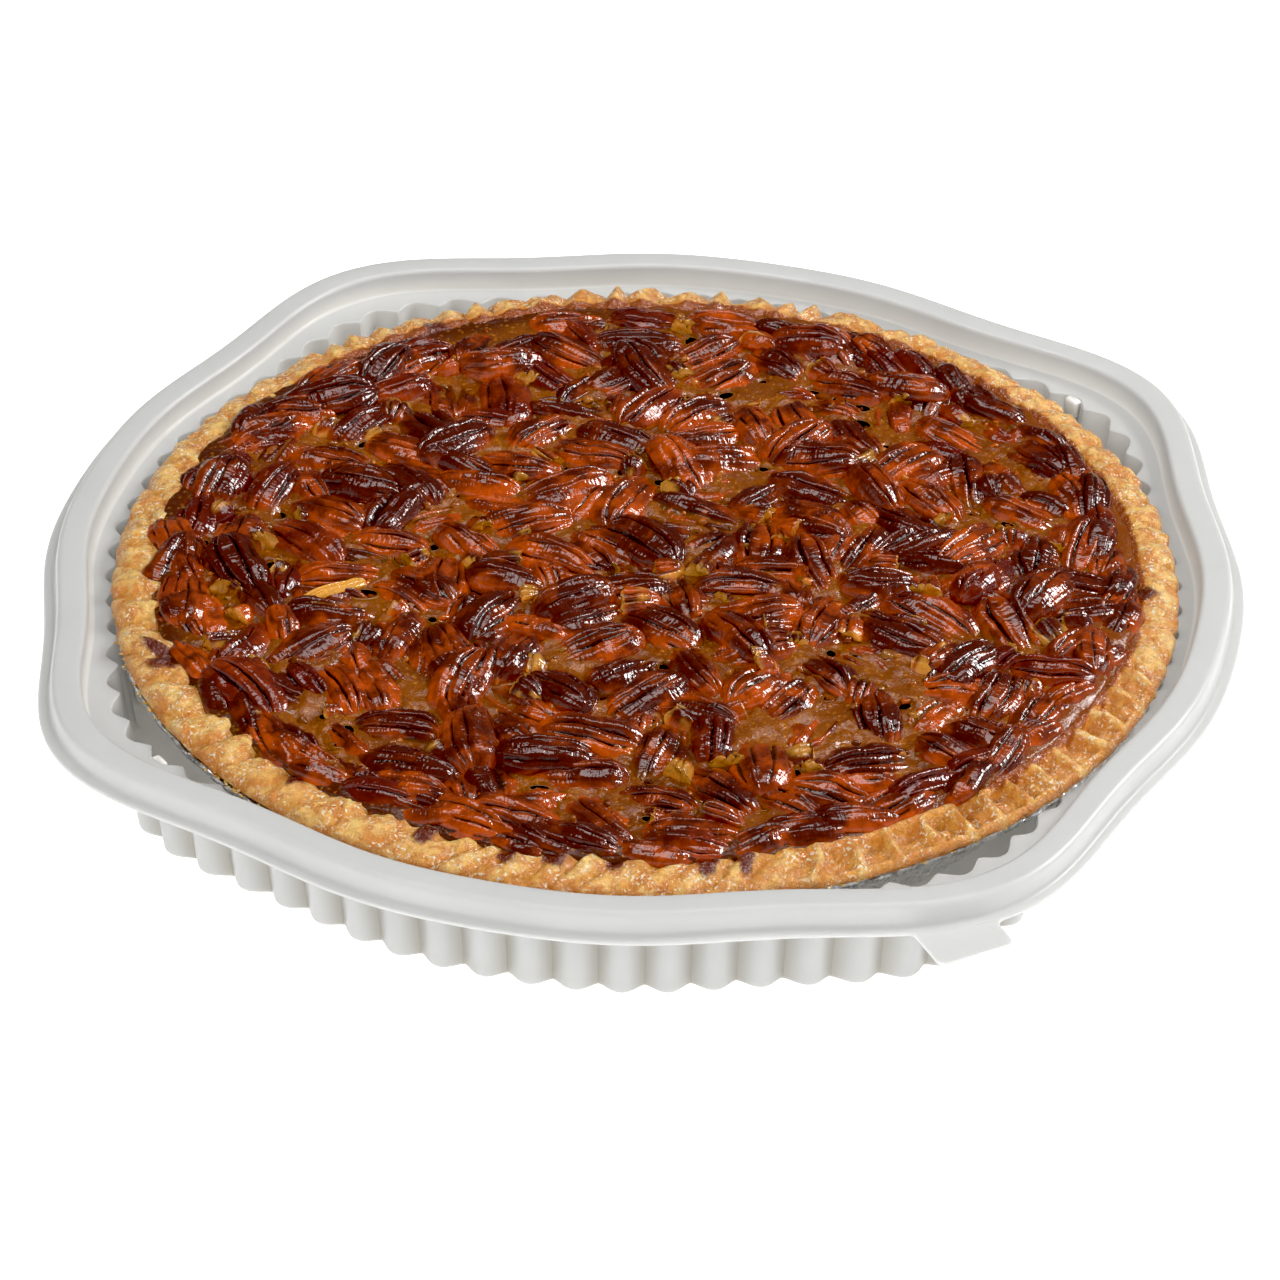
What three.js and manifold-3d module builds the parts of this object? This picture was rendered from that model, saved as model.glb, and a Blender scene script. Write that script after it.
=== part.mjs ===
// A pecan pie in its foil tin, standing in the fluted plastic tray that it is carried in.
//
// Millimetres, +Z up. The origin is on the tray's axis, in the plane of its underside.
// The tray's four corner lobes lie on the diagonals and its closing tab beside the +X -Y lobe.
//
// Every piece except the tab and the pecans is a skin of rings: closed loops of points,
// one above or beside the other, that start and end on the piece's axis.

import * as THREE from 'three';
import { mergeVertices } from 'three/addons/utils/BufferGeometryUtils.js';
import Module from 'manifold-3d';

const wasm = await Module();
wasm.setup();

// Driving dimensions, mm

const REST_GAP = 0.3; // between two pieces that touch

const TRAY_HEIGHT = 39; // underside to the crest of the rim
const TRAY_WALL = 1;
const CREST_SIDE_RADIUS = 161.8; // outer edge of the crest, halfway along a side
const CREST_CORNER_RADIUS = 174.8; // and at the middle of a corner lobe
const CREST_WIDTH = 8.2;
const CREST_ROUNDING = 1.2;
const FLANGE_REACH = 4; // past the crest's outer edge
const FLANGE_WIDTH = 2.6; // its flat part
const FLANGE_DROP = 6; // below the crest
const LEDGE_DROP = 6.5; // below the crest, between it and the flutes
const RISER_LEAN = 0.5;
const FLUTE_COUNT = 76;
const FLUTE_SIDE_RADIUS = 149; // outer tips of the flutes, halfway along a side
const FLUTE_CORNER_RADIUS = 158.7;
const FLUTE_DEPTH = 3.7;
const FLUTE_SHARPNESS = 1.5; // above 1 the inner ribs are narrower than the outer lobes
const FLUTE_TAPER = 3.6; // how far the wall leans in on its way down
const FOOT_ROUNDING = 2.3;
const TRAY_COLUMNS = 76;
const COLUMNS_PER_FLUTE = 4;

const TAB_ANGLE = 310.1; // degrees from +X
const TAB_WIDTH = 21;
const TAB_REACH = 187.8; // from the tray's axis to the tab's end
const TAB_CORNER = 2.5;
const TAB_FILLET = 5; // where its sides run into the flange
const TAB_ROOT_RADIUS = 175.5; // the flange's edge at the tab
const TAB_OVERLAP = 3; // how far the tab reaches back over the flange

const PIE_CENTRE = new THREE.Vector2(1.2, -4.2); // the pie lies a little off the tray's axis

const TIN_FOIL = 0.6;
const TIN_FLOOR_RADIUS = 119;
const TIN_HEEL = 2.5; // rounding between its floor and its side
const TIN_MOUTH_RADIUS = 140.2; // outside of the side, just under the rim
const TIN_RIM_RADIUS = 146.8; // flat part of the rim
const TIN_BEAD_RADIUS = 148.3; // the curled edge
const TIN_BEAD_HEIGHT = 1.5;
const TIN_COLUMNS = 40;

const CRUST_THICKNESS = 5;
const CRUST_SHOULDER_DROP = 3.5; // where its inside meets the rim, below the tray's crest
const CRUST_BORE_DROP = 2.2; // top of the bore, below the tray's crest
const CRUST_EDGE_RADIUS = 147.4;
const CRUST_EDGE_THICKNESS = 2;
const CRUST_EDGE_BEVEL = 1.2; // how far its top edge lies inside its widest line
const CRUST_RIDGE_RADIUS = 140.5;
const CRUST_RIDGE_DROP = 0.5; // below the tray's crest, between the crimps' peaks and dents
const CRUST_LIP_RADIUS = 134.4; // where the rim turns down to the filling
const CRUST_BORE_RADIUS = 133.4; // inside of the rim, below the lip
const CRIMP_COUNT = 87;
const CRIMP_HEIGHT = 1.2; // up and down from the middle
const CRIMP_SWING = 0.6; // in and out
const COLUMNS_PER_CRIMP = 4;
const CRUST_COLUMNS = 60;

const FILLING_SIDE_RADIUS = 132.9;
const FILLING_EDGE_DROP = 1.4; // below the tray's crest, against the crust
const FILLING_CROWN = 1; // how far the middle stands above the edge
const FILLING_COLUMNS = 48;

const PECAN_COUNT = 178; // halves laid out over the filling
const PECANS_FUSED = 104; // of these the first ones are part of the solid
const PECAN_FIELD_RADIUS = 131.4; // no pecan reaches past it
const PECAN_LENGTH = 24; // shortest, then the spread
const PECAN_LENGTH_SPREAD = 7;
const PECAN_WIDTH_RATIO = 0.5;
const PECAN_WIDTH_SPREAD = 0.09;
const PECAN_HEIGHT = 7;
const PECAN_SINK = 2; // least depth of its flat face below the filling
const PECAN_SINK_SPREAD = 1.6;
const RIDER_STEP = 6; // every sixth pecan lies on the others
const RIDER_SINK = 0.6;
const PECAN_TILT = 14; // degrees, most either way along its length
const PECAN_ROLL = 22; // degrees, most either way about its length
const PLACING_TRIES = 14;
const PACKING_SWEEPS = 60;
const PACKING_CROWDING = 0.86; // share of a pecan's width that neighbours keep
const RIM_BAND = 0.8; // past this share of the field, pecans lie along the rim
const RIM_WANDER = 35; // degrees either way off the rim's direction
const LAYOUT_SEED = 20117;

const AXIS = new THREE.Vector2(0, 0);
const TURN = 2 * Math.PI;

// Rings and skins

// A closed loop of points round a centre. Radius and height are numbers or functions of the angle.
function ring(count, radius, height, centre = AXIS) {
  const points = [];
  for (let i = 0; i < count; i += 1) {
    const angle = TURN * i / count;
    const r = typeof radius === 'function' ? radius(angle) : radius;
    const z = typeof height === 'function' ? height(angle) : height;
    points.push(new THREE.Vector3(centre.x + r * Math.cos(angle), centre.y + r * Math.sin(angle), z));
  }
  return points;
}

function axisPoint(height, centre = AXIS) {
  return [new THREE.Vector3(centre.x, centre.y, height)];
}

// Triangles between two rings, which may have different counts of points.
function bandFaces(start, count, nextStart, nextCount) {
  const faces = [];
  let i = 0;
  let j = 0;
  while (i < count || j < nextCount) {
    const here = start + i % count;
    const there = nextStart + j % nextCount;
    const lagging = i < count && (i + 1) / count <= (j + 1) / nextCount;
    if (j === nextCount || lagging) {
      if (count > 1) faces.push(here, start + (i + 1) % count, there);
      i += 1;
    } else {
      if (nextCount > 1) faces.push(here, nextStart + (j + 1) % nextCount, there);
      j += 1;
    }
  }
  return faces;
}

// A closed skin through the rings, from the underside's axis point outwards and back over the top.
function skin(rings) {
  const positions = [];
  const faces = [];
  let start = 0;
  rings.forEach((loop, index) => {
    loop.forEach((point) => positions.push(point.x, point.y, point.z));
    const next = rings[index + 1];
    if (next) faces.push(...bandFaces(start, loop.length, start + loop.length, next.length));
    start += loop.length;
  });
  const geometry = new THREE.BufferGeometry();
  geometry.setAttribute('position', new THREE.Float32BufferAttribute(positions, 3));
  geometry.setIndex(faces);
  return geometry;
}

// Joining solids

function toSolid(geometry) {
  const bare = geometry.clone();
  bare.deleteAttribute('normal');
  bare.deleteAttribute('uv');
  const merged = mergeVertices(bare, 1e-4);
  return new wasm.Manifold(new wasm.Mesh({
    numProp: 3,
    vertProperties: new Float32Array(merged.attributes.position.array),
    triVerts: new Uint32Array(merged.index.array),
  }));
}

function toGeometry(solid) {
  const mesh = solid.getMesh();
  const geometry = new THREE.BufferGeometry();
  geometry.setAttribute('position', new THREE.Float32BufferAttribute(mesh.vertProperties, 3));
  geometry.setIndex(Array.from(mesh.triVerts));
  return geometry;
}

function join(base, additions) {
  const whole = additions.reduce((solid, piece) => solid.add(toSolid(piece)), toSolid(base));
  return toGeometry(whole);
}

// Tray

// 0 halfway along a side and 1 at the middle of a corner lobe, with a slight waist between them.
function lobe(angle) {
  const t = angle - Math.PI / 4;
  return 0.4 * (1 + Math.cos(4 * t)) - 0.255 * (1 - Math.cos(8 * t)) + 0.1 * (1 + Math.cos(12 * t));
}

function crestRadius(angle) {
  return THREE.MathUtils.lerp(CREST_SIDE_RADIUS, CREST_CORNER_RADIUS, lobe(angle));
}

function fluteRadius(angle) {
  const tips = THREE.MathUtils.lerp(FLUTE_SIDE_RADIUS, FLUTE_CORNER_RADIUS, lobe(angle));
  const rib = ((1 + Math.cos(FLUTE_COUNT * angle)) / 2) ** FLUTE_SHARPNESS;
  return tips - FLUTE_DEPTH * rib;
}

function besideCrest(offset) {
  return (angle) => crestRadius(angle) + offset;
}

function besideFlutes(offset) {
  return (angle) => fluteRadius(angle) + offset;
}

function floorRadius(angle) {
  const tips = THREE.MathUtils.lerp(FLUTE_SIDE_RADIUS, FLUTE_CORNER_RADIUS, lobe(angle));
  return tips - FLUTE_DEPTH - FLUTE_TAPER - FOOT_ROUNDING;
}

function trayGeometry() {
  const flutedColumns = FLUTE_COUNT * COLUMNS_PER_FLUTE;
  const ledge = TRAY_HEIGHT - LEDGE_DROP;
  const flange = TRAY_HEIGHT - FLANGE_DROP;
  const shoulder = TRAY_HEIGHT - CREST_ROUNDING;
  const riser = -CREST_WIDTH - RISER_LEAN;
  const plain = (offset, height) => ring(TRAY_COLUMNS, besideCrest(offset), height);
  const fluted = (offset, height) => ring(flutedColumns, besideFlutes(offset), height);
  return skin([
    axisPoint(0),
    ring(TRAY_COLUMNS, floorRadius, 0),
    fluted(TRAY_WALL - FLUTE_TAPER, FOOT_ROUNDING - TRAY_WALL / 2),
    fluted(TRAY_WALL, ledge - TRAY_WALL),
    plain(riser + TRAY_WALL, ledge - TRAY_WALL),
    plain(TRAY_WALL - CREST_WIDTH, shoulder - TRAY_WALL / 2),
    plain(CREST_ROUNDING - CREST_WIDTH, TRAY_HEIGHT - TRAY_WALL),
    plain(-CREST_ROUNDING, TRAY_HEIGHT - TRAY_WALL),
    plain(-TRAY_WALL, shoulder - TRAY_WALL / 2),
    plain(FLANGE_REACH - FLANGE_WIDTH - TRAY_WALL, flange - TRAY_WALL),
    plain(FLANGE_REACH, flange - TRAY_WALL),
    plain(FLANGE_REACH, flange),
    plain(FLANGE_REACH - FLANGE_WIDTH, flange),
    plain(0, shoulder),
    plain(-CREST_ROUNDING, TRAY_HEIGHT),
    plain(CREST_ROUNDING - CREST_WIDTH, TRAY_HEIGHT),
    plain(-CREST_WIDTH, shoulder),
    plain(riser, ledge),
    fluted(0, ledge),
    fluted(-FLUTE_TAPER, FOOT_ROUNDING),
    ring(TRAY_COLUMNS, floorRadius, TRAY_WALL),
    axisPoint(TRAY_WALL),
  ]);
}

// The tab's outline, with +X pointing away from the tray's axis.
function tabOutline() {
  const half = TAB_WIDTH / 2;
  const outline = new THREE.Shape();
  outline.moveTo(TAB_ROOT_RADIUS - TAB_OVERLAP, -half - TAB_FILLET);
  outline.lineTo(TAB_ROOT_RADIUS, -half - TAB_FILLET);
  outline.absarc(TAB_ROOT_RADIUS + TAB_FILLET, -half - TAB_FILLET, TAB_FILLET, Math.PI, Math.PI / 2, true);
  outline.lineTo(TAB_REACH - TAB_CORNER, -half);
  outline.absarc(TAB_REACH - TAB_CORNER, TAB_CORNER - half, TAB_CORNER, -Math.PI / 2, 0, false);
  outline.lineTo(TAB_REACH, half - TAB_CORNER);
  outline.absarc(TAB_REACH - TAB_CORNER, half - TAB_CORNER, TAB_CORNER, 0, Math.PI / 2, false);
  outline.lineTo(TAB_ROOT_RADIUS + TAB_FILLET, half);
  outline.absarc(TAB_ROOT_RADIUS + TAB_FILLET, half + TAB_FILLET, TAB_FILLET, -Math.PI / 2, -Math.PI, true);
  outline.lineTo(TAB_ROOT_RADIUS - TAB_OVERLAP, half + TAB_FILLET);
  return outline;
}

function tabGeometry() {
  const tab = new THREE.ExtrudeGeometry(tabOutline(), {
    depth: TRAY_WALL,
    bevelEnabled: false,
    curveSegments: 5,
  });
  tab.translate(0, 0, TRAY_HEIGHT - FLANGE_DROP - TRAY_WALL);
  tab.rotateZ(THREE.MathUtils.degToRad(TAB_ANGLE));
  return tab;
}

// Foil tin

const TIN_BASE = TRAY_WALL + REST_GAP;
const TIN_RIM = TRAY_HEIGHT - LEDGE_DROP + REST_GAP;

function tinGeometry() {
  const round = (radius, height) => ring(TIN_COLUMNS, radius, height, PIE_CENTRE);
  return skin([
    axisPoint(TIN_BASE, PIE_CENTRE),
    round(TIN_FLOOR_RADIUS, TIN_BASE),
    round(TIN_FLOOR_RADIUS + TIN_HEEL, TIN_BASE + TIN_HEEL / 2),
    round(TIN_MOUTH_RADIUS, TIN_RIM),
    round(TIN_RIM_RADIUS, TIN_RIM),
    round(TIN_BEAD_RADIUS, TIN_RIM + TIN_BEAD_HEIGHT / 3),
    round(TIN_BEAD_RADIUS, TIN_RIM + TIN_BEAD_HEIGHT),
    round(TIN_RIM_RADIUS + TIN_FOIL, TIN_RIM + TIN_BEAD_HEIGHT),
    round(TIN_RIM_RADIUS, TIN_RIM + TIN_FOIL),
    round(TIN_MOUTH_RADIUS - TIN_FOIL, TIN_RIM + TIN_FOIL),
    round(TIN_FLOOR_RADIUS + TIN_HEEL - TIN_FOIL, TIN_BASE + TIN_HEEL / 2 + TIN_FOIL),
    round(TIN_FLOOR_RADIUS - TIN_FOIL, TIN_BASE + TIN_FOIL),
    axisPoint(TIN_BASE + TIN_FOIL, PIE_CENTRE),
  ]);
}

// Crust

const CRUST_BASE = TIN_BASE + TIN_FOIL + REST_GAP;
const CRUST_SEAT = TIN_RIM + TIN_FOIL + REST_GAP; // underside of the rim, on the tin's rim
const CRUST_INSET = 2 * REST_GAP; // from the tin's inside face, measured level
const CRUST_MOUTH_RADIUS = TIN_MOUTH_RADIUS - TIN_FOIL - CRUST_INSET;
const CRUST_HEEL_RADIUS = TIN_FLOOR_RADIUS + TIN_HEEL - TIN_FOIL - CRUST_INSET;
const CRUST_HEEL = CRUST_BASE + TIN_HEEL;

// 1 on the peak of a crimp and -1 in its dent.
function crimp(angle) {
  return Math.cos(CRIMP_COUNT * angle);
}

function crimped(middle, swing) {
  return (angle) => middle + swing * crimp(angle);
}

function crustGeometry() {
  const ridge = TRAY_HEIGHT - CRUST_RIDGE_DROP;
  const edge = CRUST_SEAT + CRUST_EDGE_THICKNESS;
  const round = (radius, height) => ring(CRUST_COLUMNS, radius, height, PIE_CENTRE);
  const crimps = (columns, radius, height) => ring(CRIMP_COUNT * columns, radius, height, PIE_CENTRE);
  const bevel = crimped(CRUST_EDGE_RADIUS - CRUST_EDGE_BEVEL, CRIMP_SWING);
  return skin([
    axisPoint(CRUST_BASE, PIE_CENTRE),
    round(CRUST_HEEL_RADIUS - TIN_HEEL, CRUST_BASE),
    round(CRUST_HEEL_RADIUS, CRUST_HEEL),
    round(CRUST_MOUTH_RADIUS, CRUST_SEAT),
    round(TIN_RIM_RADIUS - TIN_FOIL, CRUST_SEAT),
    round(CRUST_EDGE_RADIUS, CRUST_SEAT + TIN_BEAD_HEIGHT - TIN_FOIL),
    crimps(COLUMNS_PER_CRIMP, bevel, crimped(edge, CRIMP_HEIGHT / 2)),
    crimps(COLUMNS_PER_CRIMP, CRUST_RIDGE_RADIUS, crimped(ridge, CRIMP_HEIGHT)),
    crimps(2, crimped(CRUST_LIP_RADIUS, -CRIMP_SWING), crimped(ridge, CRIMP_HEIGHT / 2)),
    crimps(1, CRUST_BORE_RADIUS, TRAY_HEIGHT - CRUST_BORE_DROP),
    round(CRUST_MOUTH_RADIUS - CRUST_THICKNESS, TRAY_HEIGHT - CRUST_SHOULDER_DROP),
    round(CRUST_HEEL_RADIUS - CRUST_THICKNESS, CRUST_BASE + CRUST_THICKNESS),
    axisPoint(CRUST_BASE + CRUST_THICKNESS, PIE_CENTRE),
  ]);
}

// Pecan filling

// The filling's bare surface, from its edge to its slightly raised middle.
function fillingHeight(radius) {
  const edge = TRAY_HEIGHT - FILLING_EDGE_DROP;
  return edge + FILLING_CROWN * (1 - (radius / FILLING_SIDE_RADIUS) ** 2);
}

function fillingGeometry() {
  const round = (radius, height) => ring(FILLING_COLUMNS, radius, height, PIE_CENTRE);
  const surface = (share) => {
    const radius = share * FILLING_SIDE_RADIUS;
    return round(radius, fillingHeight(radius));
  };
  const base = CRUST_BASE + CRUST_THICKNESS + REST_GAP;
  return skin([
    axisPoint(base, PIE_CENTRE),
    round(CRUST_HEEL_RADIUS - CRUST_THICKNESS - 2 * REST_GAP, base),
    round(CRUST_MOUTH_RADIUS - CRUST_THICKNESS - 2 * REST_GAP, TRAY_HEIGHT - CRUST_SHOULDER_DROP),
    surface(1),
    surface(0.5),
    axisPoint(fillingHeight(0), PIE_CENTRE),
  ]);
}

// A repeatable source of numbers from 0 to 1.
function makeDraw(seed) {
  let state = seed;
  return () => {
    state = state * 16807 % 2147483647;
    return state / 2147483647;
  };
}

// Of several random places, the one farthest from the pecans already laid.
function emptiestPlace(pecans, draw) {
  let best = null;
  for (let n = 0; n < PLACING_TRIES; n += 1) {
    const radius = PECAN_FIELD_RADIUS * Math.sqrt(draw());
    const angle = TURN * draw();
    const x = radius * Math.cos(angle);
    const y = radius * Math.sin(angle);
    const room = pecans.reduce((least, other) => Math.min(least, Math.hypot(other.x - x, other.y - y)), 1e9);
    if (!best || room > best.room) best = { x, y, room, radius, angle };
  }
  return best;
}

function layPecan(pecans, draw, index) {
  const place = emptiestPlace(pecans, draw);
  const rider = index % RIDER_STEP === RIDER_STEP - 1;
  const alongRim = place.radius > RIM_BAND * PECAN_FIELD_RADIUS;
  const either = () => 2 * draw() - 1;
  const wander = alongRim ? RIM_WANDER : 90;
  const heading = place.angle + Math.PI / 2 + THREE.MathUtils.degToRad(wander) * either();
  const length = PECAN_LENGTH + PECAN_LENGTH_SPREAD * draw();
  const width = length * (PECAN_WIDTH_RATIO + PECAN_WIDTH_SPREAD * draw());
  const tilt = THREE.MathUtils.degToRad(PECAN_TILT) * either();
  const roll = THREE.MathUtils.degToRad(PECAN_ROLL) * either();
  const sink = PECAN_SINK + PECAN_SINK_SPREAD * draw();
  return {
    x: place.x, y: place.y, heading, length, width, tilt, roll, rider, sink: rider ? RIDER_SINK : sink,
  };
}

// Three discs stand for a pecan while they are packed: at its middle and towards its ends.
function discs(pecan) {
  const reach = (pecan.length - pecan.width) / 2;
  return [-reach, 0, reach].map((along) => ({
    along,
    x: pecan.x + along * Math.cos(pecan.heading),
    y: pecan.y + along * Math.sin(pecan.heading),
  }));
}

// Moves a pecan by a push at one of its discs, and turns it as the push does.
function shove(pecan, disc, pushX, pushY) {
  const reach = pecan.length / 2;
  pecan.x += pushX;
  pecan.y += pushY;
  const turning = pushY * Math.cos(pecan.heading) - pushX * Math.sin(pecan.heading);
  pecan.heading += disc.along * turning / (reach * reach);
}

function partNeighbours(a, b) {
  const spacing = PACKING_CROWDING * (a.width + b.width) / 2;
  for (const i of [0, 1, 2]) {
    for (const j of [0, 1, 2]) {
      const p = discs(a)[i];
      const q = discs(b)[j];
      const distance = Math.max(Math.hypot(q.x - p.x, q.y - p.y), 1e-6);
      if (distance < spacing) {
        const push = 0.25 * (spacing - distance) / distance;
        shove(a, p, (p.x - q.x) * push, (p.y - q.y) * push);
        shove(b, q, (q.x - p.x) * push, (q.y - p.y) * push);
      }
    }
  }
}

function keepInside(pecan) {
  for (const i of [0, 1, 2]) {
    const disc = discs(pecan)[i];
    const radius = Math.hypot(disc.x, disc.y);
    const excess = radius + pecan.width / 2 - PECAN_FIELD_RADIUS;
    if (excess > 0) shove(pecan, disc, -disc.x * excess / radius, -disc.y * excess / radius);
  }
}

function layOut() {
  const draw = makeDraw(LAYOUT_SEED);
  const pecans = [];
  for (let n = 0; n < PECAN_COUNT; n += 1) pecans.push(layPecan(pecans, draw, n));
  const bedded = pecans.filter((pecan) => !pecan.rider);
  for (let sweep = 0; sweep < PACKING_SWEEPS; sweep += 1) {
    bedded.forEach((a, index) => {
      bedded.slice(index + 1).forEach((b) => {
        if (Math.hypot(a.x - b.x, a.y - b.y) < PECAN_LENGTH + PECAN_LENGTH_SPREAD) partNeighbours(a, b);
      });
    });
    pecans.forEach(keepInside);
  }
  return pecans;
}

// A coarse pecan half: domed, flat underneath and blunt at both ends.
function pecanGeometry(pecan) {
  const section = [[1, 0.1], [0.5, 1], [-0.5, 1], [-1, 0.1], [0, 0]];
  const stations = [[-0.28, 0.88], [0.24, 0.94]];
  const tipHeight = 0.3 * PECAN_HEIGHT;
  const side = section.length;
  const positions = [-pecan.length / 2, 0, tipHeight];
  stations.forEach(([along, fullness]) => {
    section.forEach(([across, up]) => {
      const y = across * fullness * pecan.width / 2;
      positions.push(along * pecan.length, y, up * fullness * PECAN_HEIGHT);
    });
  });
  positions.push(pecan.length / 2, 0, tipHeight);
  const geometry = new THREE.BufferGeometry();
  geometry.setAttribute('position', new THREE.Float32BufferAttribute(positions, 3));
  geometry.setIndex([
    ...bandFaces(0, 1, 1, side),
    ...bandFaces(1, side, 1 + side, side),
    ...bandFaces(1 + side, side, 1 + 2 * side, 1),
  ]);
  const seat = fillingHeight(Math.hypot(pecan.x, pecan.y)) - pecan.sink;
  geometry.rotateX(pecan.roll);
  geometry.rotateY(pecan.tilt);
  geometry.rotateZ(pecan.heading);
  geometry.translate(PIE_CENTRE.x + pecan.x, PIE_CENTRE.y + pecan.y, seat);
  return geometry;
}

// Assembly

function piece(name, geometry, color, roughness, metalness) {
  const mesh = new THREE.Mesh(geometry, new THREE.MeshStandardMaterial({ color, roughness, metalness }));
  mesh.name = name;
  return mesh;
}

const pecans = layOut().slice(0, PECANS_FUSED).map(pecanGeometry);

const pie = new THREE.Group();
pie.add(
  piece('tray', join(trayGeometry(), [tabGeometry()]), 0xe2e2e0, 0.35, 0),
  piece('foil_tin', tinGeometry(), 0xc4c6c8, 0.25, 1),
  piece('crust', crustGeometry(), 0xcf9650, 0.6, 0),
  piece('pecan_filling', join(fillingGeometry(), pecans), 0x6b2a10, 0.2, 0),
);

export default pie;
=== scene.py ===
"""A pecan pie in its foil tin, standing in a white fluted tray.

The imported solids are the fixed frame. Each operator below makes one piece, or one group of like
pieces, over the solid that it replaces. Sizes are in metres and colours are linear.
"""

import functools
import math

import bpy
import numpy as np
from mathutils import Matrix, Vector


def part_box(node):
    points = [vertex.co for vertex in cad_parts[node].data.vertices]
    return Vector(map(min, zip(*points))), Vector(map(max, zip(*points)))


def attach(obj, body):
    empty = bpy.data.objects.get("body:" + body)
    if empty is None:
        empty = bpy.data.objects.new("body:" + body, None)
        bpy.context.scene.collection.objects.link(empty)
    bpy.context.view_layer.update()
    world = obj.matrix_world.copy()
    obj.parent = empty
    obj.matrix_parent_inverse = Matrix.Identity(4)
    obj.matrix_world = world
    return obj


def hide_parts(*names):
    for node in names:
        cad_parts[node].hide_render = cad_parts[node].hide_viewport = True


bl_info = {
    "name": "Pecan pie",
    "version": (1, 0, 0),
    "blender": (4, 5, 0),
    "location": "View3D > Sidebar > Pecan pie",
    "description": "Makes a pecan pie in its foil tin and fluted tray",
    "category": "Add Mesh",
}

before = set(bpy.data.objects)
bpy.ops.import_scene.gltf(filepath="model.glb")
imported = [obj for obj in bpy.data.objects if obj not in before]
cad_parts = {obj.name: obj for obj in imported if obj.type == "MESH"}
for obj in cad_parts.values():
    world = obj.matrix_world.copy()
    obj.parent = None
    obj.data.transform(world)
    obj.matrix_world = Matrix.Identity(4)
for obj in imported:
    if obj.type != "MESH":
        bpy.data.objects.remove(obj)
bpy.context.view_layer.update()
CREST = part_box("tray")[1].z
FILLING_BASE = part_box("pecan_filling")[0].z
FILLING_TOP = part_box("pecan_filling")[1].z
CRUST_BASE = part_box("crust")[0].z
TIN_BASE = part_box("foil_tin")[0].z
TIN_CENTRE = (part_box("foil_tin")[0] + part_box("foil_tin")[1]) / 2
MIDDLE = (TIN_CENTRE.x, TIN_CENTRE.y, 0)  # the pie stands a little off the tray's axis

MM = 0.001
TURN = 2 * math.pi


# Numbers and relief


def smooth(low, high, value):
    """0 below low, 1 above high, and a soft step between them."""
    t = np.clip((value - low) / (high - low), 0, 1)
    return t * t * (3 - 2 * t)


def blend(a, b, share):
    return a + (b - a) * share


def scatter(ix, iy, iz, seed):
    """A repeatable random number from -1 to 1 for each whole-numbered place."""
    n = (ix * 73856093) ^ (iy * 19349663) ^ (iz * 83492791) ^ (seed * 2654435761)
    n &= 0xFFFFFFFF
    n = ((n ^ (n >> 13)) * 1274126177) & 0xFFFFFFFF
    n = ((n ^ (n >> 15)) * 2246822519) & 0xFFFFFFFF
    return ((n ^ (n >> 16)) & 0xFFFF) / 32767.5 - 1


def lumps(x, y, z, seed=0):
    """Soft random relief from -1 to 1 whose lumps are about one unit wide."""
    x, y, z = np.broadcast_arrays(x, y, z)
    ix, iy, iz = (np.floor(v).astype(np.int64) for v in (x, y, z))
    fx, fy, fz = (v - np.floor(v) for v in (x, y, z))
    fx, fy, fz = (v * v * (3 - 2 * v) for v in (fx, fy, fz))
    total = 0
    for dx in (0, 1):
        for dy in (0, 1):
            for dz in (0, 1):
                share = abs(1 - dx - fx) * abs(1 - dy - fy) * abs(1 - dz - fz)
                total = total + share * scatter(ix + dx, iy + dy, iz + dz, seed)
    return total


def layered(x, y, z, seed=0, layers=3):
    """Lumps with finer and lower lumps on them."""
    total = 0
    for n in range(layers):
        k = 2.03**n
        total = total + lumps(x * k, y * k, z * k, seed + 17 * n) * 0.55**n
    return total


def window(angle, start, end, fade=9):
    """1 between two directions in degrees, anticlockwise, and 0 outside them, with soft ends."""
    start, end, fade = math.radians(start), math.radians(end), math.radians(fade)
    span = (end - start) % TURN
    off = (angle - start) % TURN
    inside = np.minimum(off, span - off)
    outside = np.where(off > (span + TURN) / 2, off - TURN, span - off)
    reach = np.where(off <= span, inside, outside)
    return smooth(-fade, fade, reach)


def around(radius, angles, height):
    """Points at a radius, a direction and a height."""
    return np.stack([radius * np.cos(angles), radius * np.sin(angles), height], 1)


# Meshes


def deselect():
    if bpy.context.mode != "OBJECT":
        bpy.ops.object.mode_set(mode="OBJECT")
    bpy.ops.object.select_all(action="DESELECT")


def choose(*pieces):
    """Selects these pieces alone and makes the first one active."""
    deselect()
    for piece in pieces:
        piece.select_set(True)
    bpy.context.view_layer.objects.active = pieces[0]


def name_piece(name):
    piece = bpy.context.object
    piece.name = piece.data.name = name
    return piece


def points_of(piece):
    flat = np.empty(len(piece.data.vertices) * 3)
    piece.data.vertices.foreach_get("co", flat)
    return flat.reshape(-1, 3)


def set_points(piece, points):
    piece.data.vertices.foreach_set("co", np.asarray(points, float).ravel())
    piece.data.update()


def paint(piece, name, values):
    """Stores one number for each point of the mesh, for its material to read."""
    layer = piece.data.attributes.get(name) or piece.data.attributes.new(name, "FLOAT", "POINT")
    layer.data.foreach_set("value", np.asarray(values, float))


def read_paint(piece, name):
    values = np.empty(len(piece.data.vertices))
    piece.data.attributes[name].data.foreach_get("value", values)
    return values


def edit(piece):
    choose(piece)
    bpy.ops.object.mode_set(mode="EDIT")
    bpy.ops.mesh.select_all(action="SELECT")


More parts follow.
